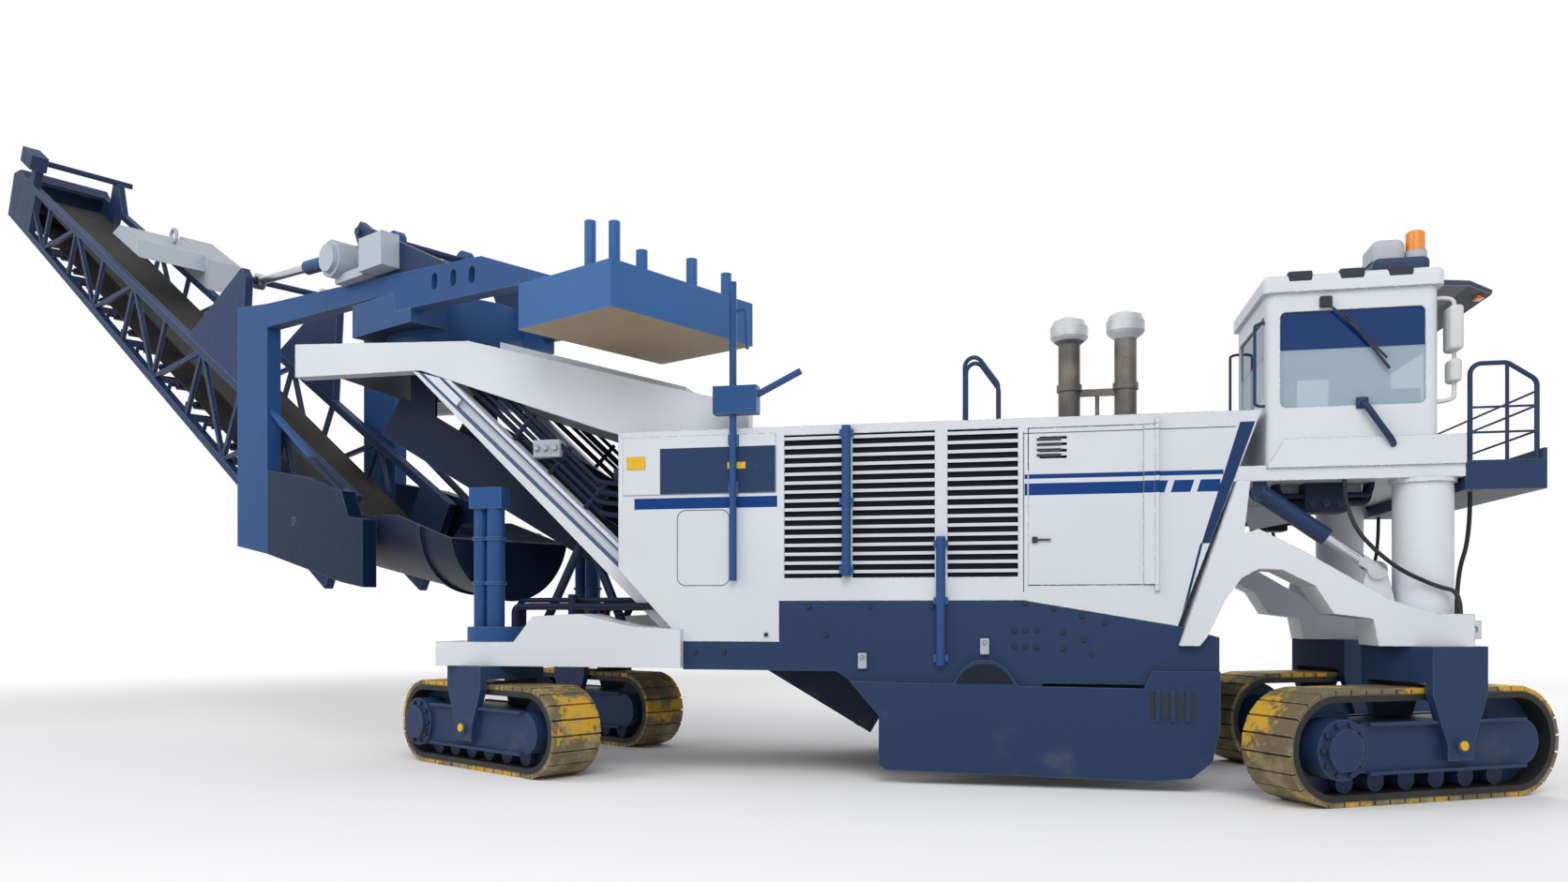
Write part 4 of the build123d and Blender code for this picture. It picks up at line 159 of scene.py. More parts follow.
class Finish:
    """A new material with its principled shader, and the place on the machine as three wires."""

    def __init__(self, name):
        self.material = bpy.data.materials.new(name)
        self.material.use_nodes = True
        self.tree = self.material.node_tree
        self.shader = self.tree.nodes["Principled BSDF"]
        self.node = Wire(self.tree, None).node
        self.place = Wire(self.tree, self.node("ShaderNodeTexCoord").outputs["Object"])
        parts = self.node("ShaderNodeSeparateXYZ", Vector=self.place)
        self.x, self.y, self.z = (Wire(self.tree, out) - zero for out, zero in zip(parts.outputs, origin))

    def noise(self, scale, detail=3.0):
        """A cloudy value about 0.5, with so many clouds to a metre."""
        made = self.node("ShaderNodeTexNoise", None, Vector=self.place, Scale=scale, Detail=detail)
        return Wire(self.tree, made.outputs["Fac"])

    def edge(self, radius):
        """1 close to an edge, 0 on the open surface."""
        soft = self.node("ShaderNodeBevel", {"samples": 4}, Radius=radius)
        plain = self.node("ShaderNodeNewGeometry")
        same = self.node("ShaderNodeVectorMath", {"operation": "DOT_PRODUCT"},
                         i0=Wire(self.tree, soft.outputs[0]), i1=Wire(self.tree, plain.outputs["Normal"]))
        return (1.0 - Wire(self.tree, same.outputs["Value"])).step(low=0.02, high=0.2)

    def upward(self):
        """How far the surface looks up, from -1 to 1."""
        plain = self.node("ShaderNodeNewGeometry")
        parts = self.node("ShaderNodeSeparateXYZ", Vector=Wire(self.tree, plain.outputs["Normal"]))
        return Wire(self.tree, parts.outputs[2])

    def wear(self, **sockets):
        """Sets or links the shader's own sockets."""
        for name, value in sockets.items():
            socket = self.shader.inputs[name.replace("_", " ")]
            if isinstance(value, Wire):
                self.tree.links.new(value.socket, socket)
            else:
                socket.default_value = value
        return self

    def bump(self, height, strength, distance):
        """Relief of the surface, from a wire that gives its height."""
        made = self.node("ShaderNodeBump", None, Strength=strength, Distance=distance, Height=height)
        self.tree.links.new(made.outputs["Normal"], self.shader.inputs["Normal"])
        return self


def rubber(name, colour, dust, dusty):
    """Black rubber that has gone grey in places, with dust in its grain."""
    finish = Finish(name)
    grain = finish.noise(scale=38.0, detail=5.0)
    film = (finish.noise(scale=1.7, detail=4.0) + finish.upward() * 0.12).step(low=0.42, high=0.78) * dusty
    scuffs = finish.edge(radius=0.012) * finish.noise(scale=19.0).step(low=0.45, high=0.7) * 0.4
    finish.wear(Base_Color=scuffs.mix(film.mix(colour, dust), rgb(120, 118, 112)),
                Roughness=0.55 + grain * 0.25 + film * 0.2, Specular_IOR_Level=0.35)
    return finish.bump(grain, strength=0.15, distance=0.004).material


SIDES = (("right", -1.0), ("left", 1.0))
HOSE_DIAMETER, HOSE_ROUNDING, HOSE_STEPS, HOSE_ORDER = 0.044, 4, 16, 3
FRONT_AXIS = 5.37
HOSE_RUNS = [  # name, length, and the route from the front steering axis: x, y, z
    ("column_hose", 1.27, [(0.46, 1.56, 3.16), (0.46, 1.56, 2.7), (0.335, 1.56, 2.3), (0.335, 1.56, 1.9)]),
    ("deck_hose", 1.94, [(-0.81, 1.82, 3.3), (-0.81, 1.82, 2.9), (-0.42, 1.945, 2.4), (0.03, 1.945, 2.17),
                         (0.25, 1.915, 2.13), (0.25, 1.915, 1.9)]),
]
hose_rubber = rubber("hose_rubber", rgb(26, 28, 34), rgb(92, 90, 86), dusty=0.3)
for name, length, route in HOSE_RUNS:
    for side, hand in SIDES:
        places = [at(FRONT_AXIS + x, hand * y, z) for x, y, z in route]
        line = bpy.data.curves.new(f"{name}_{side}", "CURVE")
        line.dimensions = "3D"
        line.bevel_depth = HOSE_DIAMETER / 2
        line.bevel_resolution = HOSE_ROUNDING
        line.resolution_u = HOSE_STEPS
        line.use_fill_caps = True
        spline = line.splines.new("NURBS")
        spline.points.add(len(places) - 1)
        for point, place in zip(spline.points, places):
            point.co = (*place, 1.0)
        spline.order_u = HOSE_ORDER
        spline.use_endpoint_u = True
        hose = bpy.data.objects.new(f"{name}_{side}", line)
        bpy.context.scene.collection.objects.link(hose)
        line.materials.append(hose_rubber)
        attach(hose, "chassis")
        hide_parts("leg_hoses")


# Crawler tracks: a chain loop with pressed steel shoes, worn bright and tan with dust, with what is left of
# its yellow paint; the box frame, fork and steering spindle are welded plate in slate blue.
def show(material, *names):
    """Gives CAD nodes their material."""
    for name in names:
        node = frame["nodes"][name]
        node.data.materials.clear()
        node.data.materials.append(material)


def toned(colour, scale, lift=0.0):
    """The colour made darker or lighter."""
    return tuple(min(1.0, c * scale + lift) for c in colour[:3]) + (1.0,)


def sprayed(finish, colour, worn, rough=0.42, marks=(), dust_top=1.6, gloss=0.3):
    """Sprayed paint: faint clouding, fine orange peel, dust low down, painted shade on faces that look down,
    worn edges with a painted highlight.
    """
    cloud = finish.noise(scale=0.55, detail=4.0)
    grain = finish.noise(scale=9.0, detail=6.0)
    edge = finish.edge(radius=0.018)
    chips = (finish.noise(scale=26.0, detail=5.0) + edge * 0.34).step(low=0.74, high=0.80)
    tone = cloud.step(low=0.25, high=0.75).mix(toned(colour, scale=0.92), colour)
    for mask, mark in marks:
        tone = mask.mix(tone, mark)
    # Painted highlight: every edge is made lighter than the paint around it.
    tone = (edge * 0.35).mix(tone, toned(colour, scale=1.5, lift=0.05))
    low_down = (dust_top - finish.z) * 0.22
    film = (finish.noise(scale=2.2, detail=5.0) + low_down).step(low=0.66, high=1.05) * 0.3
    # Painted shade: faces that look down are tinted grey-tan; dust low down is mixed in with it.
    downward_shade = (0.0 - finish.upward()).step(low=0.3, high=0.9) * (0.2 + cloud * 0.35)
    dusted_and_shaded = downward_shade.mix(film.mix(tone, rgb(138, 130, 116)), rgb(98, 92, 84))
    finish.wear(Base_Color=chips.mix(dusted_and_shaded, worn), Roughness=rough + grain * 0.16 + film * 0.3,
                Specular_IOR_Level=gloss)
    return finish.bump(grain, strength=0.06, distance=0.004).material


SLATE, SLATE_WORN = rgb(36, 57, 90), rgb(92, 98, 108)
SHOE_STEEL, SHOE_YELLOW, SHOE_SOIL = rgb(112, 101, 74), rgb(204, 162, 46), rgb(154, 137, 102)
SHOE_BRIGHT, CHAIN_AND_GAP_SHADE = rgb(190, 178, 140), rgb(36, 36, 38)
TRACK_SETS = [  # corner, angle in the parked pose, length, height, how far it lies behind its axis
    ("front_right", 30.0, 3.5, 1.15, 0.26), ("front_left", 30.0, 3.5, 1.15, 0.26),
    ("rear_right", -30.0, 3.3, 1.05, 0.0), ("rear_left", -30.0, 3.3, 1.05, 0.0)]
CHAIN_DEPTH = (0.038, 0.062)
slate_paint = sprayed(Finish("slate_blue_paint"), SLATE, SLATE_WORN, dust_top=1.0, gloss=0.2)
for corner, angle, length, height, behind in TRACK_SETS:
    pivot = Vector(joints[f"{corner}_steer"]["pos_m"]) - origin
    turn_x, turn_y = math.cos(math.radians(angle)), math.sin(math.radians(angle))
    shoes = Finish(f"track_shoes_{corner}")
    along = (shoes.x - pivot.x) * turn_x + (shoes.y - pivot.y) * turn_y + behind
    beyond = (abs(along) - (length - height) / 2).at_least(0.0)
    rise = shoes.z - height / 2
    depth = height / 2 - beyond.diagonal(rise)
    fine = shoes.noise(scale=17.0, detail=6.0)
    yellow = (shoes.noise(scale=1.4, detail=5.0) + fine * 0.35).step(low=0.66, high=0.76)
    soil = (shoes.noise(scale=4.5, detail=5.0) - rise * 0.18).step(low=0.48, high=0.72)
    bright = shoes.edge(radius=0.012) * fine.step(low=0.4, high=0.62)
    shoe = (soil * 0.75).mix(yellow.mix(SHOE_STEEL, SHOE_YELLOW), SHOE_SOIL)
    # Deeper than the shoes' outer face, the chain and the gaps between shoes are painted dark: the chain's
    # own dark steel, and painted shade in the gaps.
    shoes.wear(Base_Color=depth.step(*CHAIN_DEPTH).mix(bright.mix(shoe, SHOE_BRIGHT), CHAIN_AND_GAP_SHADE),
               Roughness=0.5 + fine * 0.3, Metallic=(1.0 - soil) * 0.25)
    show(shoes.bump(fine, strength=0.3, distance=0.01).material, f"track_{corner}")
    show(slate_paint, f"track_frame_{corner}", f"track_fork_{corner}")


# Main frame and drum side plates: thick welded plate, slate blue, with hexagon screws through the frame's
# flank where the drum's bearings sit behind it, and painted shade in a half disc of the plate over the drum's
# shaft, for a recess there.
def fit(piece, name, body, material):
    """Names a finished piece, and says what it rides on and what it is made of."""
    piece.name = name
    piece.data.name = name
    piece.data.materials.clear()
    piece.data.materials.append(material)
    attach(piece, body)
    return piece


def joined(pieces):
    """One piece out of several."""
    bpy.ops.object.select_all(action="DESELECT")
    for piece in pieces:
        piece.select_set(True)
    bpy.context.view_layer.objects.active = pieces[0]
    bpy.ops.object.join()
    return pieces[0]


def side_screw(place, hand, radius, head, sides=6):
    """Hexagon head with a chamfered face, on a side wall that looks to the right or left."""
    bpy.ops.object.select_all(action="DESELECT")
    bpy.ops.mesh.primitive_cylinder_add(vertices=sides, radius=radius, depth=head, location=place,
                                        rotation=(math.radians(90.0), 0.0, 0.0))
    screw = bpy.context.object
    bpy.ops.object.transform_apply(location=True, rotation=True, scale=True)
    bpy.ops.object.mode_set(mode="EDIT")
    bpy.ops.mesh.select_all(action="DESELECT")
    bpy.ops.object.mode_set(mode="OBJECT")
    for face in screw.data.polygons:
        face.select = face.normal.y * hand > 0.9
    bpy.ops.object.mode_set(mode="EDIT")
    bpy.ops.mesh.inset(thickness=radius * FACE_INSET, depth=head * FACE_RISE)
    bpy.ops.object.mode_set(mode="OBJECT")
    return screw


FLANK = 1.85
SCREW_RADIUS, SCREW_HEAD = 0.026, 0.024
FACE_INSET, FACE_RISE = 0.18, 0.25      # shares of a head's radius and height
FLANK_SCREWS = [  # x and z on the frame's flank
    (1.32, 2.02), (1.62, 1.96), (1.92, 1.88), (2.16, 1.80), (1.20, 1.72), (1.32, 1.72), (1.44, 1.72),
    (1.72, 1.70), (1.94, 1.62), (1.20, 1.54), (1.32, 1.54), (1.44, 1.54), (1.72, 1.52), (2.02, 1.46),
    (-1.1, 1.98), (-0.4, 1.98), (0.3, 1.98), (-1.6, 1.66), (-0.9, 1.66), (-2.1, 1.45), (-2.45, 1.45)]
RECESS_RIM, RECESS_FOOT, RECESS_SHADE = (0.325, 0.335), (1.125, 1.13), rgb(16, 24, 40)
screws = Finish("screw_steel")
screws.wear(Base_Color=screws.noise(scale=40.0).mix(rgb(20, 28, 44), rgb(48, 56, 72)),
            Roughness=0.4 + screws.noise(scale=60.0) * 0.2, Metallic=0.4)
screw_steel = screws.material
plates = Finish("side_plate_paint")
shaft = Vector(joints["drum_spin"]["pos_m"]) - origin
from_shaft = (plates.x - shaft.x).diagonal(plates.z - shaft.z)
# Painted shade: a half disc of the plate over the drum's shaft is painted dark, for a recess.
recess_shade = (1.0 - from_shaft.step(*RECESS_RIM)) * plates.z.step(*RECESS_FOOT)
show(slate_paint, "main_frame")
plate_marks = [(recess_shade, RECESS_SHADE)]
show(sprayed(plates, SLATE, SLATE_WORN, marks=plate_marks, dust_top=1.0, gloss=0.2), "side_plates")
for side, hand in SIDES:
    heads = [side_screw(at(x, hand * (FLANK + SCREW_HEAD / 2), z), hand, SCREW_RADIUS, SCREW_HEAD)
             for x, z in FLANK_SCREWS]
    fit(joined(heads), f"flank_screws_{side}", "chassis", screw_steel)


# Screw rings on the tracks' drive hubs, flanges along the track frames' upper and lower edges, and yellow
# grease caps on the ends of the forks' cross pins. They are laid out square to an unsteered track around
# the file's zero, then turned and set in place.
def chamfered_box(low, high, chamfer, segments=2):
    """A box between two corners of the machine, with its edges rounded off."""
    bpy.ops.object.select_all(action="DESELECT")
    low, high = at(*low), at(*high)
    bpy.ops.mesh.primitive_cube_add(size=1.0, location=(low + high) / 2)
    box = bpy.context.object
    box.scale = high - low
    bpy.ops.object.transform_apply(location=True, rotation=True, scale=True)
    bpy.ops.object.mode_set(mode="EDIT")
    bpy.ops.mesh.select_all(action="SELECT")
    bpy.ops.mesh.bevel(offset=chamfer, segments=segments, affect="EDGES")
    bpy.ops.object.mode_set(mode="OBJECT")
    return box


def outward(hand, near, far):
    """Low and high y of something on the right or left, between two distances from the centre line."""
    return sorted((hand * near, hand * far))


HUB_RING, HUB_FACE, HUB_SCREWS = 0.252, 0.409, 10
CAP_FACE, CAP_RADIUS, CAP_HEAD, CAP_SIDES = 0.4843, 0.05, 0.02, 16
FLANGE_Y, FLANGE_THICK, FLANGE_CHAMFER, FLANGE_CLEAR = (0.36, 0.435), 0.034, 0.008, 0.32
FRAME_TALL = 0.48
yellow_paint = sprayed(Finish("yellow_paint"), rgb(226, 178, 34), rgb(120, 104, 60), 0.45, dust_top=-2.0)
for corner, angle, length, height, behind in TRACK_SETS:
    ring, caps, flanges = [], [], []
    wheel, middle = (length - height) / 2, height / 2
    for hand in (-1.0, 1.0):
        y_low, y_high = outward(hand, *FLANGE_Y)
        for z in (middle - FRAME_TALL / 2, middle + FRAME_TALL / 2):
            low = Vector((FLANGE_CLEAR - behind - wheel, y_low, z - FLANGE_THICK / 2))
            high = Vector((wheel - behind, y_high, z + FLANGE_THICK / 2))
            flanges.append(chamfered_box(low - origin, high - origin, FLANGE_CHAMFER))
        for k in range(HUB_SCREWS):
            turn = 2.0 * math.pi * k / HUB_SCREWS
            spot = Vector((HUB_RING * math.cos(turn) - behind - wheel, hand * (HUB_FACE + SCREW_HEAD / 2),
                           HUB_RING * math.sin(turn) + middle))
            ring.append(side_screw(spot, hand, SCREW_RADIUS, SCREW_HEAD))
        spot = Vector((0.0, hand * (CAP_FACE + CAP_HEAD / 2), middle))
        caps.append(side_screw(spot, hand, CAP_RADIUS, CAP_HEAD, CAP_SIDES))
    for pieces, name, slot, finish in ((ring, "hub_screws", "slate_blue_paint", screw_steel),
                                       (flanges, "frame_flanges", "slate_blue_paint", slate_paint),
                                       (caps, "pin_caps", "amber_lens", yellow_paint)):
        piece = joined(pieces)
        piece.rotation_euler.z = math.radians(angle)
        piece.location = Vector(joints[f"{corner}_steer"]["pos_m"])
        bpy.ops.object.transform_apply(location=True, rotation=True, scale=True)
        fit(piece, f"{name}_{corner}", f"{corner}_track", finish)


# Cutter drum: a cast body with welded pick holders, polished and scratched by what it cuts. The conveyor's
# pulleys are turned steel of the same kind.
drum = Finish("cut_steel")
scratches = drum.noise(scale=30.0, detail=6.0)
dirt = drum.noise(scale=3.0, detail=5.0).step(low=0.4, high=0.7)
drum.wear(Base_Color=dirt.mix(rgb(78, 78, 82), rgb(104, 92, 74)), Roughness=0.35 + scratches * 0.3,
          Metallic=(1.0 - dirt) * 0.8)
show(drum.bump(scratches, strength=0.25, distance=0.008).material, "cutter_drum", "conveyor_pulleys")


# Engine hood and its two service doors: folded sheet, sprayed white, with blue stripes along both sides, a
# blue band down the slanted front edge, thin panel gaps, and a slate panel at the rear.
def patch(finish, z_range, x_range):
    """1 in an upright rectangle on the machine's side."""
    return finish.z.within(*z_range) * finish.x.within(*x_range)


WHITE, WHITE_WORN = rgb(210, 215, 221), rgb(136, 138, 142)
STRIPE_BLUE, BAND_BLUE, GAP_GREY = rgb(2, 54, 118), rgb(26, 50, 92), rgb(96, 100, 108)
HOOD_FACE = (1.80, 1.81)
THICK_STRIPE = ((3.20, 3.33), (1.31, 3.34))     # heights, then rear and front end
THIN_STRIPE = ((3.38, 3.43), (1.31, 3.37))
REAR_STRIPE = ((3.13, 3.26), (-3.2, -1.47))
REAR_PANEL = ((3.298, 3.84), (-2.88, -1.485))
STRIPE_LEAN, STRIPE_BREAKS = 0.31, ((1.78, 1.845), (2.045, 2.11))
BAND_Z, BAND_REAR, BAND_FRONT = (2.65, 3.93), (3.15, 0.302), (3.24, 0.349)      # x at its foot, and lean
LINE_Z, LINE_PLACE, LINE_HALF = (1.75, 2.65), (2.93, 0.2444), 0.014
SHARP = (-0.003, 0.003)
SEAM_UPRIGHT = ((2.14, 3.9), (1.294, 1.306))
SEAM_LEVEL = ((3.874, 3.886), (1.3, 3.5))
HATCH_MIDDLE, HATCH_HALF, HATCH_SEAM = (-2.355, 2.67), (0.215, 0.34), (0.094, 0.106)
hood = Finish("hood_paint")
flank = abs(hood.y).step(*HOOD_FACE)
lean = hood.x - hood.z * STRIPE_LEAN
breaks = 1.0 - lean.within(*STRIPE_BREAKS[0]) - lean.within(*STRIPE_BREAKS[1])
stripes = patch(hood, *THICK_STRIPE) * breaks + patch(hood, *THIN_STRIPE) + patch(hood, *REAR_STRIPE)
band_back, band_front = ((hood.x - foot - (hood.z - BAND_Z[0]) * slope).step(*SHARP)
                         for foot, slope in (BAND_REAR, BAND_FRONT))
band = (band_back - band_back * band_front) * hood.z.within(*BAND_Z)
line = (hood.x - LINE_PLACE[0] - (hood.z - LINE_Z[0]) * LINE_PLACE[1]).within(-LINE_HALF, LINE_HALF)
seams = patch(hood, *SEAM_UPRIGHT) + patch(hood, *SEAM_LEVEL)
hatch_x = (abs(hood.x - HATCH_MIDDLE[0]) - HATCH_HALF[0]).at_least(0.0)
hatch_z = (abs(hood.z - HATCH_MIDDLE[1]) - HATCH_HALF[1]).at_least(0.0)
gaps = (seams + hatch_x.diagonal(hatch_z).within(*HATCH_SEAM)) * flank
hood_marks = [(flank * stripes, STRIPE_BLUE), (flank * patch(hood, *REAR_PANEL), SLATE),
              (flank * (band + line * hood.z.within(*LINE_Z)), BAND_BLUE), (gaps.at_most(1.0), GAP_GREY)]
hood_paint = sprayed(hood, WHITE, WHITE_WORN, 0.4, hood_marks, dust_top=0.6, gloss=0.18)
show(hood_paint, "engine_hood", "hood_door_right", "hood_door_left")


# On each hood door sit a flush lever latch of dark cast metal, and a small louvre of pressed slats near its
# top rear corner.
dark_cast = sprayed(Finish("dark_cast_metal"), rgb(40, 46, 60), rgb(110, 112, 116), 0.5, dust_top=-2.0)
LATCH_X, LATCH_Z, LATCH_PROUD, LATCH_CHAMFER = (1.42, 1.59), (2.70, 2.72), 0.03, 0.007
BOSS_HALF, BOSS_ABOVE, BOSS_CHAMFER = 0.03, 0.025, 0.012
LOUVRE_X, LOUVRE_Z, LOUVRE_SLATS = (1.44, 1.70), (3.62, 3.85), 4
SLAT_PROUD, SLAT_SHARE, SLAT_CHAMFER = 0.006, 0.55, 0.002
for side, hand in SIDES:
    body = f"{side}_hood_door"
    y_low, y_high = outward(hand, FLANK, FLANK + LATCH_PROUD)
    lever = chamfered_box((LATCH_X[0], y_low, LATCH_Z[0]), (LATCH_X[1], y_high, LATCH_Z[1]), LATCH_CHAMFER)
    boss = chamfered_box((LATCH_X[0] - BOSS_HALF, y_low, LATCH_Z[0] - BOSS_ABOVE),
                         (LATCH_X[0] + BOSS_HALF, y_high, LATCH_Z[1] + BOSS_ABOVE), BOSS_CHAMFER)
    fit(joined([lever, boss]), f"door_latch_{side}", body, dark_cast)
    y_low, y_high = outward(hand, FLANK, FLANK + SLAT_PROUD)
    pitch = (LOUVRE_Z[1] - LOUVRE_Z[0]) / LOUVRE_SLATS
    slats = []
    for k in range(LOUVRE_SLATS):
        z = LOUVRE_Z[0] + k * pitch
        slats.append(chamfered_box((LOUVRE_X[0], y_low, z), (LOUVRE_X[1], y_high, z + pitch * SLAT_SHARE),
                                   SLAT_CHAMFER))
    fit(joined(slats), f"door_louvre_{side}", body, dark_cast)


# Grease blocks: pale painted steel, screwed to the frame's flank, each with one nipple in its face. The side
# plate's nose has a thin dark sheet on its face, painted shade for an opening, behind three welded flat bars.
FITTINGS = [(-0.48, 1.37), (0.88, 1.54)]        # x and z on the frame's flank
FITTING_HALF, FITTING_TALL, FITTING_PROUD, FITTING_CHAMFER = 0.05, 0.09, 0.05, 0.012
NIPPLE_RADIUS, NIPPLE_HEAD, NIPPLE_OUT, PLUG_SIDES = 0.02, 0.03, 0.06, 10
NOSE_X, NOSE_Z, NOSE_FACE, NOSE_THICK, NOSE_CHAMFER = (2.62, 3.08), (0.78, 1.06), FLANK + 0.07, 0.004, 0.001
BAR_COUNT, BAR_HALF, BAR_Y, BAR_OVER, BAR_CHAMFER = 3, 0.025, (0.003, 0.03), 0.03, 0.008
pale_block = sprayed(Finish("pale_block"), rgb(170, 178, 188), rgb(90, 96, 106), 0.45, dust_top=-2.0)
for side, hand in SIDES:
    blocks = []
    for x, z in FITTINGS:
        y_low, y_high = outward(hand, FLANK, FLANK + FITTING_PROUD)
        blocks.append(chamfered_box((x - FITTING_HALF, y_low, z - FITTING_TALL),
                                    (x + FITTING_HALF, y_high, z + FITTING_TALL), FITTING_CHAMFER))
        blocks.append(side_screw(at(x, hand * (FLANK + NIPPLE_OUT), z + FITTING_TALL / 2), hand,
                                 NIPPLE_RADIUS, NIPPLE_HEAD, PLUG_SIDES))
    fit(joined(blocks), f"grease_blocks_{side}", "chassis", pale_block)
    y_low, y_high = outward(hand, NOSE_FACE, NOSE_FACE + NOSE_THICK)
    # Painted shade: a thin dark sheet on the nose stands for the depth of an opening.
    shade_sheet = chamfered_box((NOSE_X[0], y_low, NOSE_Z[0]), (NOSE_X[1], y_high, NOSE_Z[1]), NOSE_CHAMFER)
    fit(shade_sheet, f"nose_shade_sheet_{side}", "chassis", screw_steel)
    y_low, y_high = outward(hand, NOSE_FACE + BAR_Y[0], NOSE_FACE + BAR_Y[1])
    bars = []
    for k in range(BAR_COUNT):
        x = NOSE_X[0] + (NOSE_X[1] - NOSE_X[0]) * (k + 0.5) / BAR_COUNT
        bars.append(chamfered_box((x - BAR_HALF, y_low, NOSE_Z[0] - BAR_OVER),
                                  (x + BAR_HALF, y_high, NOSE_Z[1] + BAR_OVER), BAR_CHAMFER))
    fit(joined(bars), f"nose_bars_{side}", "chassis", slate_paint)


# Radiator grilles: pressed louvre slats, sprayed white, in front of boxes of dark wire mesh. The mesh is
# painted near black and the slats a little under the hood's white, as painted shade between the slats. The
# engine is one block of bare cast iron, bolted down inside the hood.
SLAT_FACE, SLAT_WHITE_SHADED = (1.838, 1.842), rgb(204, 208, 214)
grille = Finish("grille_paint")
mesh = grille.noise(scale=55.0, detail=2.0)
# Painted shade: the mesh's own dark colour is pushed near black, and the slats are a little darker than the
# hood's white.
mesh_and_shade = mesh.mix(rgb(5, 8, 15), rgb(13, 18, 30))
grille.wear(Base_Color=abs(grille.y).step(*SLAT_FACE).mix(mesh_and_shade, SLAT_WHITE_SHADED), Roughness=0.5 + mesh * 0.2,
            Specular_IOR_Level=0.2)
show(grille.bump(mesh, strength=0.1, distance=0.004).material, "hood_grilles")
engine = Finish("engine_iron")
casting = engine.noise(scale=12.0, detail=6.0)
engine.wear(Base_Color=casting.mix(rgb(58, 60, 64), rgb(96, 94, 90)), Roughness=0.6 + casting * 0.2,
            Metallic=0.3)
show(engine.bump(casting, strength=0.3, distance=0.01).material, "engine_block")


# Exhaust stacks: rolled steel pipes that the heat has stained brown, welded to the hood's roof and tied by
# a bar, with pale spun rain caps on top.
RAIN_CAP_Z = (5.215, 5.225)
stacks = Finish("exhaust_steel")
heat = stacks.noise(scale=2.6, detail=5.0).step(low=0.35, high=0.7)
fine = stacks.noise(scale=24.0, detail=5.0)
stain = fine.step(low=0.55, high=0.75) * 0.5
pipe = stain.mix(heat.mix(rgb(84, 81, 79), rgb(118, 111, 103)), rgb(78, 70, 64))
lid = heat.mix(rgb(176, 178, 180), rgb(210, 212, 214))
stacks.wear(Base_Color=stacks.z.step(*RAIN_CAP_Z).mix(pipe, lid), Roughness=0.42 + fine * 0.2, Metallic=0.35)
show(stacks.bump(fine, strength=0.12, distance=0.004).material, "exhaust_stacks")


# Front carriage: cast arms, lifting columns and the plate deck under the cab, white; the lift cylinders
# have slate barrels and ground, bright rods.
white_paint = sprayed(Finish("white_machine_paint"), WHITE, WHITE_WORN, 0.38, dust_top=0.9)
show(white_paint, "front_arms", "front_columns", "cab_deck")
barrel_blue = sprayed(Finish("barrel_paint"), rgb(28, 48, 84), rgb(100, 108, 120), 0.34, gloss=0.25)
show(barrel_blue, "lift_barrels")
rods = Finish("ground_rod")
film = rods.noise(scale=3.0, detail=4.0)
rods.wear(Base_Color=film.mix(rgb(176, 180, 186), rgb(206, 208, 212)), Roughness=0.16 + film * 0.14,
          Metallic=0.9)
show(rods.material, "lift_rods", "luff_rods")
show(slate_paint, "front_platform", "handrails")


# Under the cab deck, between its webs and the lift cylinders: hydraulic pipes with both ends up in the deck,
# and a valve bank bolted to the deck's underside. Each pipe is bent from one length of steel tube.
def bent_tube(points, radius):
    """A tube along a smooth line through the machine, turned into a mesh."""
    bpy.ops.object.select_all(action="DESELECT")
    bpy.ops.curve.primitive_nurbs_path_add(location=(0.0, 0.0, 0.0))
    tube = bpy.context.object
    tube.data.splines.clear()
    run = tube.data.splines.new("NURBS")
    run.points.add(len(points) - 1)
    for point, place in zip(run.points, points):
        point.co = (*at(*place), 1.0)
    run.order_u = TUBE_ORDER
    run.use_endpoint_u = True
    tube.data.bevel_depth = radius
    tube.data.bevel_resolution = TUBE_ROUNDING
    tube.data.use_fill_caps = True
    bpy.ops.object.convert(target="MESH")
    return bpy.context.object


def valve_block(hand, x_range, y_range, z_range, chamfer, port_z, port_radius):
    """Parts of a block with three round port plugs in its outer face."""
    y_low, y_high = outward(hand, *y_range)
    block = [chamfered_box((x_range[0], y_low, z_range[0]), (x_range[1], y_high, z_range[1]), chamfer)]
    for k in range(PORTS):
        x = x_range[0] + (x_range[1] - x_range[0]) * (k + 0.5) / PORTS
        place = at(x, hand * (y_range[1] + PORT_OUT), port_z)
        block.append(side_screw(place, hand, port_radius, PORT_HEAD, PLUG_SIDES))
    return block


TUBE_ORDER, TUBE_ROUNDING = 3, 3
PORTS, PORT_HEAD, PORT_OUT = 3, 0.04, 0.015
DECK_INSIDE, DECK_PIPE_X, DECK_BEND = 3.33, (3.98, 4.92), 0.14
DECK_PIPES = [(1.26, 3.16, 0.032), (1.37, 3.1, 0.042), (1.47, 3.17, 0.028)]     # y, z, radius
BANK = {"x_range": (4.24, 4.66), "y_range": (1.24, 1.54), "z_range": (2.98, 3.31), "chamfer": 0.02,
        "port_z": 3.08, "port_radius": 0.042}
navy_paint = sprayed(Finish("navy_paint"), rgb(20, 32, 56), rgb(84, 90, 100), 0.4, gloss=0.18)
for side, hand in SIDES:
    start, end = DECK_PIPE_X
    pipes = []
    for y, z, radius in DECK_PIPES:
        route = [(start, DECK_INSIDE), (start, z), (start + DECK_BEND, z), (end - DECK_BEND, z), (end, z),
                 (end, DECK_INSIDE)]
        pipes.append(bent_tube([(x, hand * y, height) for x, height in route], radius))
    fit(joined(pipes + valve_block(hand, **BANK)), f"deck_pipes_{side}", "chassis",
        navy_paint)


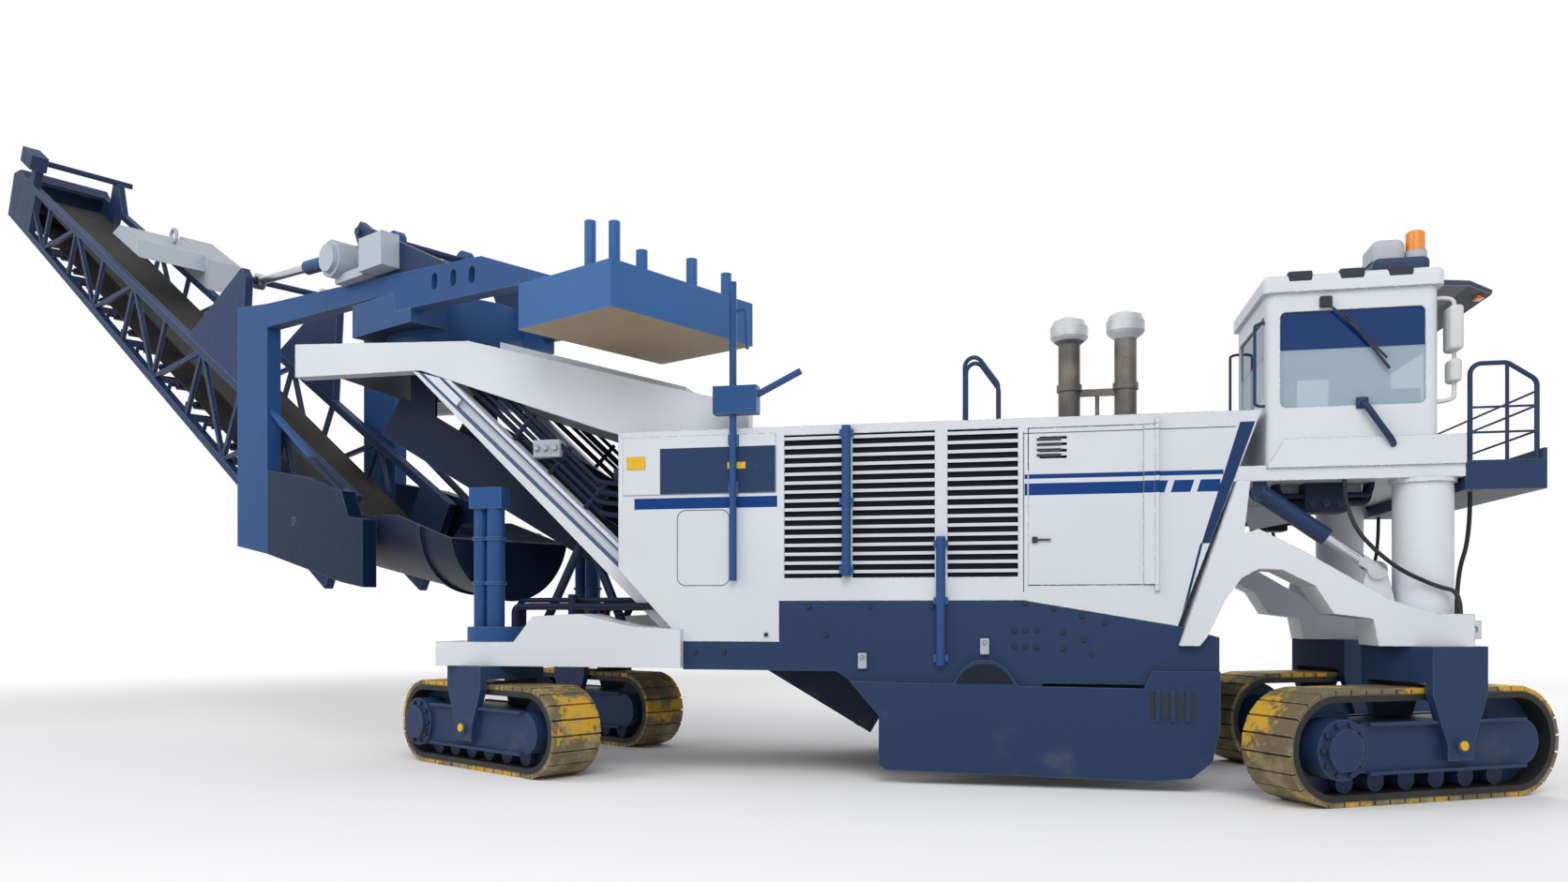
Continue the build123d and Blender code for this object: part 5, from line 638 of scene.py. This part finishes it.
# Cab: welded shell, roof and door in white; laminated glass with a dark sun band across its upper part.
# The roof's visor is dark below its edge.
VISOR_X, VISOR_Z, VISOR_DARK = (5.5, 5.505), (4.9, 4.91), rgb(48, 58, 78)
SUN_BAND_Z, SUN_BAND, CLEAR_TINT = (4.655, 4.665), rgb(2, 50, 106), rgb(186, 210, 226)
cab_paint = Finish("cab_paint")
visor = cab_paint.x.step(*VISOR_X) * cab_paint.z.step(*VISOR_Z)
show(sprayed(cab_paint, WHITE, WHITE_WORN, 0.34, [(visor, VISOR_DARK)], dust_top=-1.0),
     "cab_shell", "cab_roof", "cab_door")
glass = Finish("cab_glass")
sun_band = glass.z.step(*SUN_BAND_Z)
glass.wear(Base_Color=sun_band.mix(CLEAR_TINT, SUN_BAND), Alpha=0.42 + sun_band * 0.5,
           Roughness=0.04 + glass.noise(scale=1.3) * 0.05, Specular_IOR_Level=0.35)
show(glass.material, "cab_glass", "cab_door_glass")


# Inside the cab: a sprung seat of woven cloth over foam, on a steel pedestal, and a moulded console. The
# pads are crowned and pulled in between their corners, and are flat where they rest.
SEAT_FOOT = Vector((4.45, -1.0, 3.46))
PEDESTAL, PEDESTAL_CHAMFER = ((-0.2, -0.18, 0.02), (0.16, 0.18, 0.34)), 0.03
PADS = [  # name, low and high corner from the seat's foot, axis that its crown rises along
    ("seat_cushion", (-0.27, -0.26, 0.34), (0.25, 0.26, 0.475), 2),
    ("seat_back", (-0.325, -0.25, 0.49), (-0.2, 0.25, 1.14), 0),
]
PAD_CORNER, PAD_CUTS, CROWN, PULL, FOAM = 0.03, 4, 0.02, 0.012, 0.6
cloth = Finish("seat_cloth")
weave = cloth.node("ShaderNodeTexWave", {"bands_direction": "DIAGONAL"}, Vector=cloth.place, Scale=160.0)
threads = Wire(cloth.tree, weave.outputs["Fac"])
faded = cloth.noise(scale=6.0)
cloth.wear(Base_Color=(threads * 0.5 + faded * 0.5).mix(rgb(30, 34, 44), rgb(66, 72, 86)),
           Roughness=0.85 + faded * 0.1, Specular_IOR_Level=0.2)
cloth.bump(threads, strength=0.25, distance=0.002)
for name, low, high, axis in PADS:
    low, high = SEAT_FOOT + Vector(low), SEAT_FOOT + Vector(high)
    pad = chamfered_box(low, high, PAD_CORNER, segments=3)
    bpy.ops.object.mode_set(mode="EDIT")
    bpy.ops.mesh.select_all(action="SELECT")
    bpy.ops.mesh.subdivide(number_cuts=PAD_CUTS)
    bpy.ops.object.mode_set(mode="OBJECT")
    middle = at(*((low + high) / 2))
    half = (high - low) / 2
    first, second = [k for k in range(3) if k != axis]
    for vertex in pad.data.vertices:
        share = [(vertex.co[k] - middle[k]) / half[k] for k in range(3)]
        crown = (1.0 - share[first] ** 2) * (1.0 - share[second] ** 2)
        vertex.co[axis] -= CROWN * (1.0 - crown) * max(share[axis], 0.0)
        for k, other in ((first, second), (second, first)):
            vertex.co[k] -= share[k] * PULL * (1.0 - share[other] ** 2)
    soft = pad.modifiers.new("crown", "SUBSURF")
    soft.levels = soft.render_levels = 1
    bpy.ops.object.modifier_apply(modifier="crown")
    bpy.ops.object.shade_smooth()
    fit(pad, name, "chassis", cloth.material)
    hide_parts("operator_seat")
pedestal = chamfered_box(*(SEAT_FOOT + Vector(corner) for corner in PEDESTAL), PEDESTAL_CHAMFER)
fit(pedestal, "seat_pedestal", "chassis", dark_cast)
show(dark_cast, "operator_console")


# On the cab's right side: a wiper with a steel arm and a rubber blade, a bent grab tube below the window,
# a grab rail behind it, and a mirror on a tube bracket ahead of the front corner.
WIPER_ARM = [(4.37, -1.875, 5.14), (4.52, -1.885, 4.99), (4.80, -1.885, 4.70), (4.95, -1.88, 4.53)]
WIPER_BLADE = [(4.56, -1.868, 5.00), (4.74, -1.872, 4.76), (4.98, -1.868, 4.42)]
WIPER_MOTOR = ((4.31, -1.90, 5.08), (4.43, -1.85, 5.20))
ARM_RADIUS, BLADE_RADIUS, MOTOR_CHAMFER = 0.012, 0.014, 0.015
GRAB_TUBE = [(4.72, -1.85, 4.08), (4.72, -1.93, 4.08), (4.86, -1.93, 3.86), (5.01, -1.93, 3.64),
             (5.01, -1.85, 3.64)]
GRAB_FEET = (((4.66, -1.875, 4.02), (4.78, -1.85, 4.14)), ((4.94, -1.875, 3.57), (5.08, -1.85, 3.71)))
GRAB_RADIUS, FOOT_CHAMFER = 0.034, 0.01
RAIL_RUN = [(3.80, 4.98), (3.70, 4.98), (3.70, 4.90), (3.70, 4.18), (3.70, 4.10), (3.80, 4.10)]     # x, z
RAIL_Y, RAIL_RADIUS = (-1.74, -0.26), 0.016
MIRROR_TUBE = [(5.45, -1.76, 5.14), (5.60, -1.80, 5.14), (5.60, -1.80, 5.0), (5.60, -1.80, 4.2),
               (5.60, -1.80, 4.08), (5.45, -1.76, 4.08)]
MIRROR_HOUSINGS = (((5.53, -1.92, 4.58), (5.66, -1.66, 5.04)), ((5.54, -1.90, 4.26), (5.65, -1.68, 4.50)))
MIRROR_RADIUS, MIRROR_CORNER = 0.022, 0.04
wiper = [bent_tube(WIPER_ARM, ARM_RADIUS), bent_tube(WIPER_BLADE, BLADE_RADIUS),
         chamfered_box(*WIPER_MOTOR, MOTOR_CHAMFER)]
fit(joined(wiper), "window_wiper", "chassis", dark_cast)
grab = [bent_tube(GRAB_TUBE, GRAB_RADIUS)] + [chamfered_box(*foot, FOOT_CHAMFER) for foot in GRAB_FEET]
fit(joined(grab), "side_grab_tube", "chassis", barrel_blue)
rails = [bent_tube([(x, y, z) for x, z in RAIL_RUN], RAIL_RADIUS) for y in RAIL_Y]
fit(joined(rails), "rear_grab_rails", "chassis", slate_paint)
pale_plastic = sprayed(Finish("pale_plastic"), rgb(206, 207, 206), rgb(150, 150, 148), 0.4, dust_top=-2.0)
mirror = [bent_tube(MIRROR_TUBE, MIRROR_RADIUS)]
mirror += [chamfered_box(*housing, MIRROR_CORNER, segments=3) for housing in MIRROR_HOUSINGS]
fit(joined(mirror), "front_mirror", "chassis", pale_plastic)


# On the cab's roof: work lamps in dark housings along the eave, an amber marker at the visor's tip, the
# air unit on its slate base, and the amber beacon.
LAMP_X, LAMP_HALF, LAMP_CHAMFER = (4.12, 4.62, 5.08), 0.12, 0.02
LAMP_Y, LAMP_Z = (-1.90, -1.70), (5.36, 5.475)
MARKER, MARKER_CHAMFER = ((5.86, -1.66, 5.15), (5.955, -1.5, 5.20)), 0.02
UNIT_BASE_Z = (5.615, 5.625)
lamps = [chamfered_box((x - LAMP_HALF, LAMP_Y[0], LAMP_Z[0]), (x + LAMP_HALF, LAMP_Y[1], LAMP_Z[1]),
                       LAMP_CHAMFER) for x in LAMP_X]
fit(joined(lamps), "roof_lamps", "chassis", dark_cast)
amber = Finish("amber_lens")
ribs = amber.node("ShaderNodeTexWave", {"bands_direction": "Z"}, Vector=amber.place, Scale=28.0)
ridge = Wire(amber.tree, ribs.outputs["Fac"])
amber.wear(Base_Color=ridge.mix(rgb(214, 112, 14), rgb(244, 158, 40)), Roughness=0.2 + ridge * 0.1,
           Coat_Weight=0.4)
amber_lens = amber.bump(ridge, strength=0.2, distance=0.004).material
show(amber_lens, "beacon")
fit(chamfered_box(*MARKER, MARKER_CHAMFER), "visor_marker", "chassis", amber_lens)
roof = Finish("roof_unit_paint")
base = 1.0 - roof.z.step(*UNIT_BASE_Z)
show(sprayed(roof, rgb(176, 182, 190), rgb(120, 122, 126), 0.4, [(base, SLATE)], dust_top=-2.0), "roof_unit")


# Rear carriage and boom: cast arms, welded beams and slanted struts, white. The struts are blue along their
# edges, where the closing strips are welded on.
STRUT_HEAD, STRUT_RUN = (-5.77, 4.846), (0.731, -0.682)      # x and z of its upper edge, and the way down it
STRIP_DEPTHS, STRIP_FACE, STRIP_BLUE = ((0.045, 0.08), (0.18, 0.215)), (1.43, 1.438), rgb(48, 74, 118)
show(white_paint, "rear_arms", "boom_beams")
show(navy_paint, "slew_ring", "primary_conveyor", "hopper")
struts = Finish("strut_paint")
sunk = (struts.x - STRUT_HEAD[0]) * STRUT_RUN[1] - (struts.z - STRUT_HEAD[1]) * STRUT_RUN[0]
strips = (sunk.within(*STRIP_DEPTHS[0]) + sunk.within(*STRIP_DEPTHS[1])) * abs(struts.y).step(*STRIP_FACE)
show(sprayed(struts, WHITE, WHITE_WORN, 0.4, [(strips, STRIP_BLUE)]), "boom_struts")


# Hydraulic lines above the struts: steel pipes from the hood's rear wall up into the boom beams, clamped to
# posts on each strut, with a pale valve block half way up.
LINES = [  # height over the strut, y, radius
    (0.09, 1.33, 0.036), (0.19, 1.41, 0.028), (0.28, 1.34, 0.042), (0.37, 1.42, 0.028)]
BEAM_RUN, BEAM_INSIDE = 2.237, 0.12     # how far down a line leaves the beam, to its height over the strut
BEND_X, BEND_RUN, WALL_X = -3.78, 0.2, -3.36
POSTS, POST_HEIGHTS, POST_Y, POST_RADIUS = (1.1, 1.75, 2.4), (-0.04, 0.2, 0.43), 1.375, 0.03
STRUT_BLOCK = {"x_range": (-4.66, -4.30), "y_range": (1.29, 1.49), "z_range": (3.84, 4.06), "chamfer": 0.018,
               "port_z": 3.95, "port_radius": 0.036}


def over_strut(run, height):
    """x and z of a point that lies so far down a strut and so high over its upper edge."""
    return (STRUT_HEAD[0] + STRUT_RUN[0] * run - STRUT_RUN[1] * height,
            STRUT_HEAD[1] + STRUT_RUN[1] * run + STRUT_RUN[0] * height)


for side, hand in SIDES:
    lines = []
    for height, y, radius in LINES:
        head = BEAM_RUN * height - BEAM_INSIDE
        foot = (BEND_X - STRUT_HEAD[0] + STRUT_RUN[1] * height) / STRUT_RUN[0]
        route = [over_strut(run, height) for run in (head, (head + foot) / 2, foot - BEND_RUN, foot)]
        route.append((WALL_X, route[-1][1]))
        lines.append(bent_tube([(x, hand * y, z) for x, z in route], radius))
    for run in POSTS:
        route = [over_strut(run, height) for height in POST_HEIGHTS]
        lines.append(bent_tube([(x, hand * POST_Y, z) for x, z in route], POST_RADIUS))
    fit(joined(lines), f"strut_lines_{side}", "chassis", navy_paint)
    valves = joined(valve_block(hand, **STRUT_BLOCK))
    fit(valves, f"strut_valves_{side}", "chassis", pale_block)


# Lines of the rear lifting columns: steel pipes from the hood's rear wall along the top of each rear arm and
# down into the column's foot, in a clamp on the arm. A pair of brace tubes stands between arm and strut.
REAR_LINES = [(1.33, 2.0, 0.04), (1.44, 2.07, 0.032), (1.56, 1.99, 0.045)]    # y, z, radius
REAR_WALL_X, MID_X, FOOT_X, FOOT_BEND, FOOT_INSIDE = -2.57, -3.4, -4.86, (0.2, 0.16), 1.71
CLAMP_X, CLAMP_Z, CLAMP_SCALE = -4.1, (1.84, 2.14), 1.25
BRACE_TOP, BRACE_FEET, BRACE_Y, BRACE_RADIUS = (2.62, -0.2), ((-4.62, 1.6), (-3.5, 1.74)), 1.39, 0.055
for side, hand in SIDES:
    lines = []
    for y, z, radius in REAR_LINES:
        route = [(REAR_WALL_X, z), (MID_X, z), (FOOT_X + FOOT_BEND[0], z), (FOOT_X, z),
                 (FOOT_X, z - FOOT_BEND[1]), (FOOT_X, FOOT_INSIDE)]
        lines.append(bent_tube([(x, hand * y, height) for x, height in route], radius))
    for y, z, radius in REAR_LINES[::2]:
        lines.append(bent_tube([(CLAMP_X, hand * y, height) for height in (CLAMP_Z[0], z, CLAMP_Z[1])],
                               radius * CLAMP_SCALE))
    top_x, top_z = over_strut(*BRACE_TOP)
    for x, z in BRACE_FEET:
        route = [(x, z), ((x + top_x) / 2, (z + top_z) / 2), (top_x, top_z)]
        lines.append(bent_tube([(x, hand * BRACE_Y, z) for x, z in route], BRACE_RADIUS))
    fit(joined(lines), f"rear_lines_{side}", "chassis", navy_paint)


# Belts: black rubber over woven plies, greyed by what they carry, one up to the slewing axis and one loop
# in the discharge conveyor.
belt_rubber = rubber("belt_rubber", rgb(20, 22, 27), rgb(72, 66, 58), dusty=0.4)
show(belt_rubber, "primary_belt", "conveyor_belt")


# Slewed unit: portal frame, turntable and counterweight in a brighter blue; the counterweight's underside is
# painted tan, a painted reflection of light from the floor. The service mast and its pipes on the hood carry
# the same blue.
PORTAL_BLUE, PORTAL_WORN = rgb(36, 76, 128), rgb(104, 118, 138)
ARM_REACH, ARM_TOP, ARM_DARK = (3.06, 3.1), (4.15, 4.17), rgb(12, 32, 60)
WEIGHT_BLUE, WEIGHT_FLOOR_LIGHT = rgb(46, 94, 150), rgb(178, 150, 112)
blue_paint = sprayed(Finish("portal_blue_paint"), PORTAL_BLUE, PORTAL_WORN, 0.36, gloss=0.25)
show(blue_paint, "turntable", "service_mast", "luff_barrels", "rear_columns")
portal = Finish("portal_paint")
reach = (portal.x - slew_axis.x) * heading.x + (portal.y - slew_axis.y) * heading.y
arm = (1.0 - reach.step(*ARM_REACH)) * (1.0 - portal.z.step(*ARM_TOP))
show(sprayed(portal, PORTAL_BLUE, PORTAL_WORN, 0.36, [(arm, ARM_DARK)], gloss=0.16), "portal_frame")
weight = Finish("counterweight_paint")
# Painted reflection: the counterweight's faces that look down are painted tan, as if lit from the floor
# below.
painted_floor_light = (0.0 - weight.upward()).step(low=0.6, high=0.8)
show(sprayed(weight, WEIGHT_BLUE, PORTAL_WORN, 0.38, [(painted_floor_light, WEIGHT_FLOOR_LIGHT)], gloss=0.25), "counterweight")
grey_paint = sprayed(Finish("grey_machinery_paint"), rgb(176, 184, 194), rgb(70, 86, 116), 0.45)
show(grey_paint, "winch_unit", "drive_unit")


# Discharge conveyor: a welded lattice of slate blue angles that the load has scuffed, with its belt, head
# chute, and the mast that the luffing cylinders push on.
lattice = sprayed(Finish("lattice_paint"), rgb(34, 54, 90), rgb(128, 138, 152), 0.45, gloss=0.2)
show(lattice, "conveyor_truss", "luff_gantry", "luff_mast", "head_chute")


# Return idlers: steel rollers under the belt's lower run, on shafts that brackets hold over the lattice's
# lower chords, at every half panel.
RAISE = math.radians(31.5)
IDLER_FIRST, IDLER_PITCH, IDLER_COUNT = 0.9, 0.8132, 17
IDLER_HEIGHT, IDLER_RADIUS, IDLER_HALF = -0.375, 0.066, 0.67
SHAFT_RADIUS, SHAFT_OVER, BRACKET_RADIUS, BRACKET_OVER = 0.024, 0.02, 0.032, 0.04
CHORD_MIDDLE, CHORD_TAIL, CHORD_RISE = 0.785, -0.62, 0.0095      # across; height at the pivot, rise per metre
luff_pivot = Vector(joints["luff"]["pos_m"]) - origin


def on_conveyor(distance, height, aside):
    """A point of the machine so far up the raised conveyor, so high over its axis and so far aside."""
    level = distance * math.cos(RAISE) - height * math.sin(RAISE)
    rise = distance * math.sin(RAISE) + height * math.cos(RAISE)
    return luff_pivot + heading * level + across * aside + Vector((0.0, 0.0, rise))


idlers = []
for k in range(IDLER_COUNT):
    distance = IDLER_FIRST + k * IDLER_PITCH
    chord = CHORD_TAIL + CHORD_RISE * distance
    for half, radius in ((IDLER_HALF, IDLER_RADIUS), (CHORD_MIDDLE + SHAFT_OVER, SHAFT_RADIUS)):
        route = [on_conveyor(distance, IDLER_HEIGHT, aside) for aside in (-half, 0.0, half)]
        idlers.append(bent_tube(route, radius))
    for aside in (-CHORD_MIDDLE, CHORD_MIDDLE):
        route = [on_conveyor(distance, height, aside)
                 for height in (chord, (chord + IDLER_HEIGHT) / 2, IDLER_HEIGHT + BRACKET_OVER)]
        idlers.append(bent_tube(route, BRACKET_RADIUS))
fit(joined(idlers), "return_idlers", "conveyor", navy_paint)


# Two plain plates of sheet steel, sprayed yellow, screwed to the raised panel at the hood's rear on each
# side.
PLATE_FACE, PLATE_THICK, PLATE_CHAMFER = FLANK + 0.012, 0.008, 0.003
PLATES = [((-3.29, -3.06), (3.60, 3.75)), ((-2.06, -1.84), (3.58, 3.66))]       # x, z
for side, hand in SIDES:
    y_low, y_high = outward(hand, PLATE_FACE, PLATE_FACE + PLATE_THICK)
    bare = [chamfered_box((x_low, y_low, z_low), (x_high, y_high, z_high), PLATE_CHAMFER)
            for (x_low, x_high), (z_low, z_high) in PLATES]
    fit(joined(bare), f"sign_plates_{side}", "chassis", yellow_paint)


# Studio: a wide pale floor that keeps the shadow and fades to white far out, three large soft lamps, and a
# white surround that straight looks and reflections see.
FLOOR_SIZE, FLOOR_PARTS, FLOOR_SUNK, FLOOR_FADE = 400.0, 8, -0.002, (16.0, 30.0)
FLOOR_COLOUR, PURE_WHITE, SKY_LIGHT = rgb(244, 244, 245), (1.0, 1.0, 1.0, 1.0), 0.55
LAMPS = [  # place, aim, size, watts
    ((4.0, -22.0, 20.0), (0.0, 0.0, 2.5), 16.0, 3300.0),
    ((-20.0, -12.0, 16.0), (-4.0, 0.0, 3.0), 12.0, 1500.0),
    ((10.0, 18.0, 16.0), (0.0, 0.0, 2.0), 14.0, 1700.0),
]


def looked_at(tree):
    """1 for the camera's own rays and for those that gloss and glass send on."""
    rays = Wire(tree, None).node("ShaderNodeLightPath")
    seen = Wire(tree, rays.outputs["Is Camera Ray"])
    for kind in ("Is Glossy Ray", "Is Transmission Ray"):
        seen = seen.at_least(Wire(tree, rays.outputs[kind]))
    return seen


bpy.ops.object.select_all(action="DESELECT")
bpy.ops.mesh.primitive_grid_add(x_subdivisions=FLOOR_PARTS, y_subdivisions=FLOOR_PARTS, size=FLOOR_SIZE,
                                location=(0.0, 0.0, FLOOR_SUNK))
floor = bpy.context.object
floor.name = "studio_floor"
ground = Finish("studio_floor")
ground.wear(Base_Color=FLOOR_COLOUR, Roughness=0.9, Specular_IOR_Level=0.1)
far_out = ground.x.diagonal(ground.y).step(*FLOOR_FADE)
glow = ground.node("ShaderNodeEmission", None, Color=PURE_WHITE, Strength=1.0)
blend = ground.node("ShaderNodeMixShader", None, i0=far_out * looked_at(ground.tree))
ground.tree.links.new(ground.shader.outputs[0], blend.inputs[1])
ground.tree.links.new(glow.outputs[0], blend.inputs[2])
ground.tree.links.new(blend.outputs[0], ground.tree.nodes["Material Output"].inputs["Surface"])
floor.data.materials.append(ground.material)
for k, (place, aim, lamp_size, watts) in enumerate(LAMPS):
    lamp = bpy.data.objects.new(f"lamp_{k}", bpy.data.lights.new(f"lamp_{k}", "AREA"))
    bpy.context.scene.collection.objects.link(lamp)
    lamp.location = at(*place)
    lamp.rotation_euler = (at(*aim) - at(*place)).to_track_quat("-Z", "Y").to_euler()
    lamp.data.size = lamp_size
    lamp.data.energy = watts
world = bpy.data.worlds.new("studio")
bpy.context.scene.world = world
world.use_nodes = True
sky = world.node_tree.nodes["Background"]
sky.inputs["Color"].default_value = PURE_WHITE
strength = SKY_LIGHT + looked_at(world.node_tree) * (1.0 - SKY_LIGHT)
world.node_tree.links.new(strength.socket, sky.inputs["Strength"])
bpy.context.scene.view_settings.view_transform = "Standard"
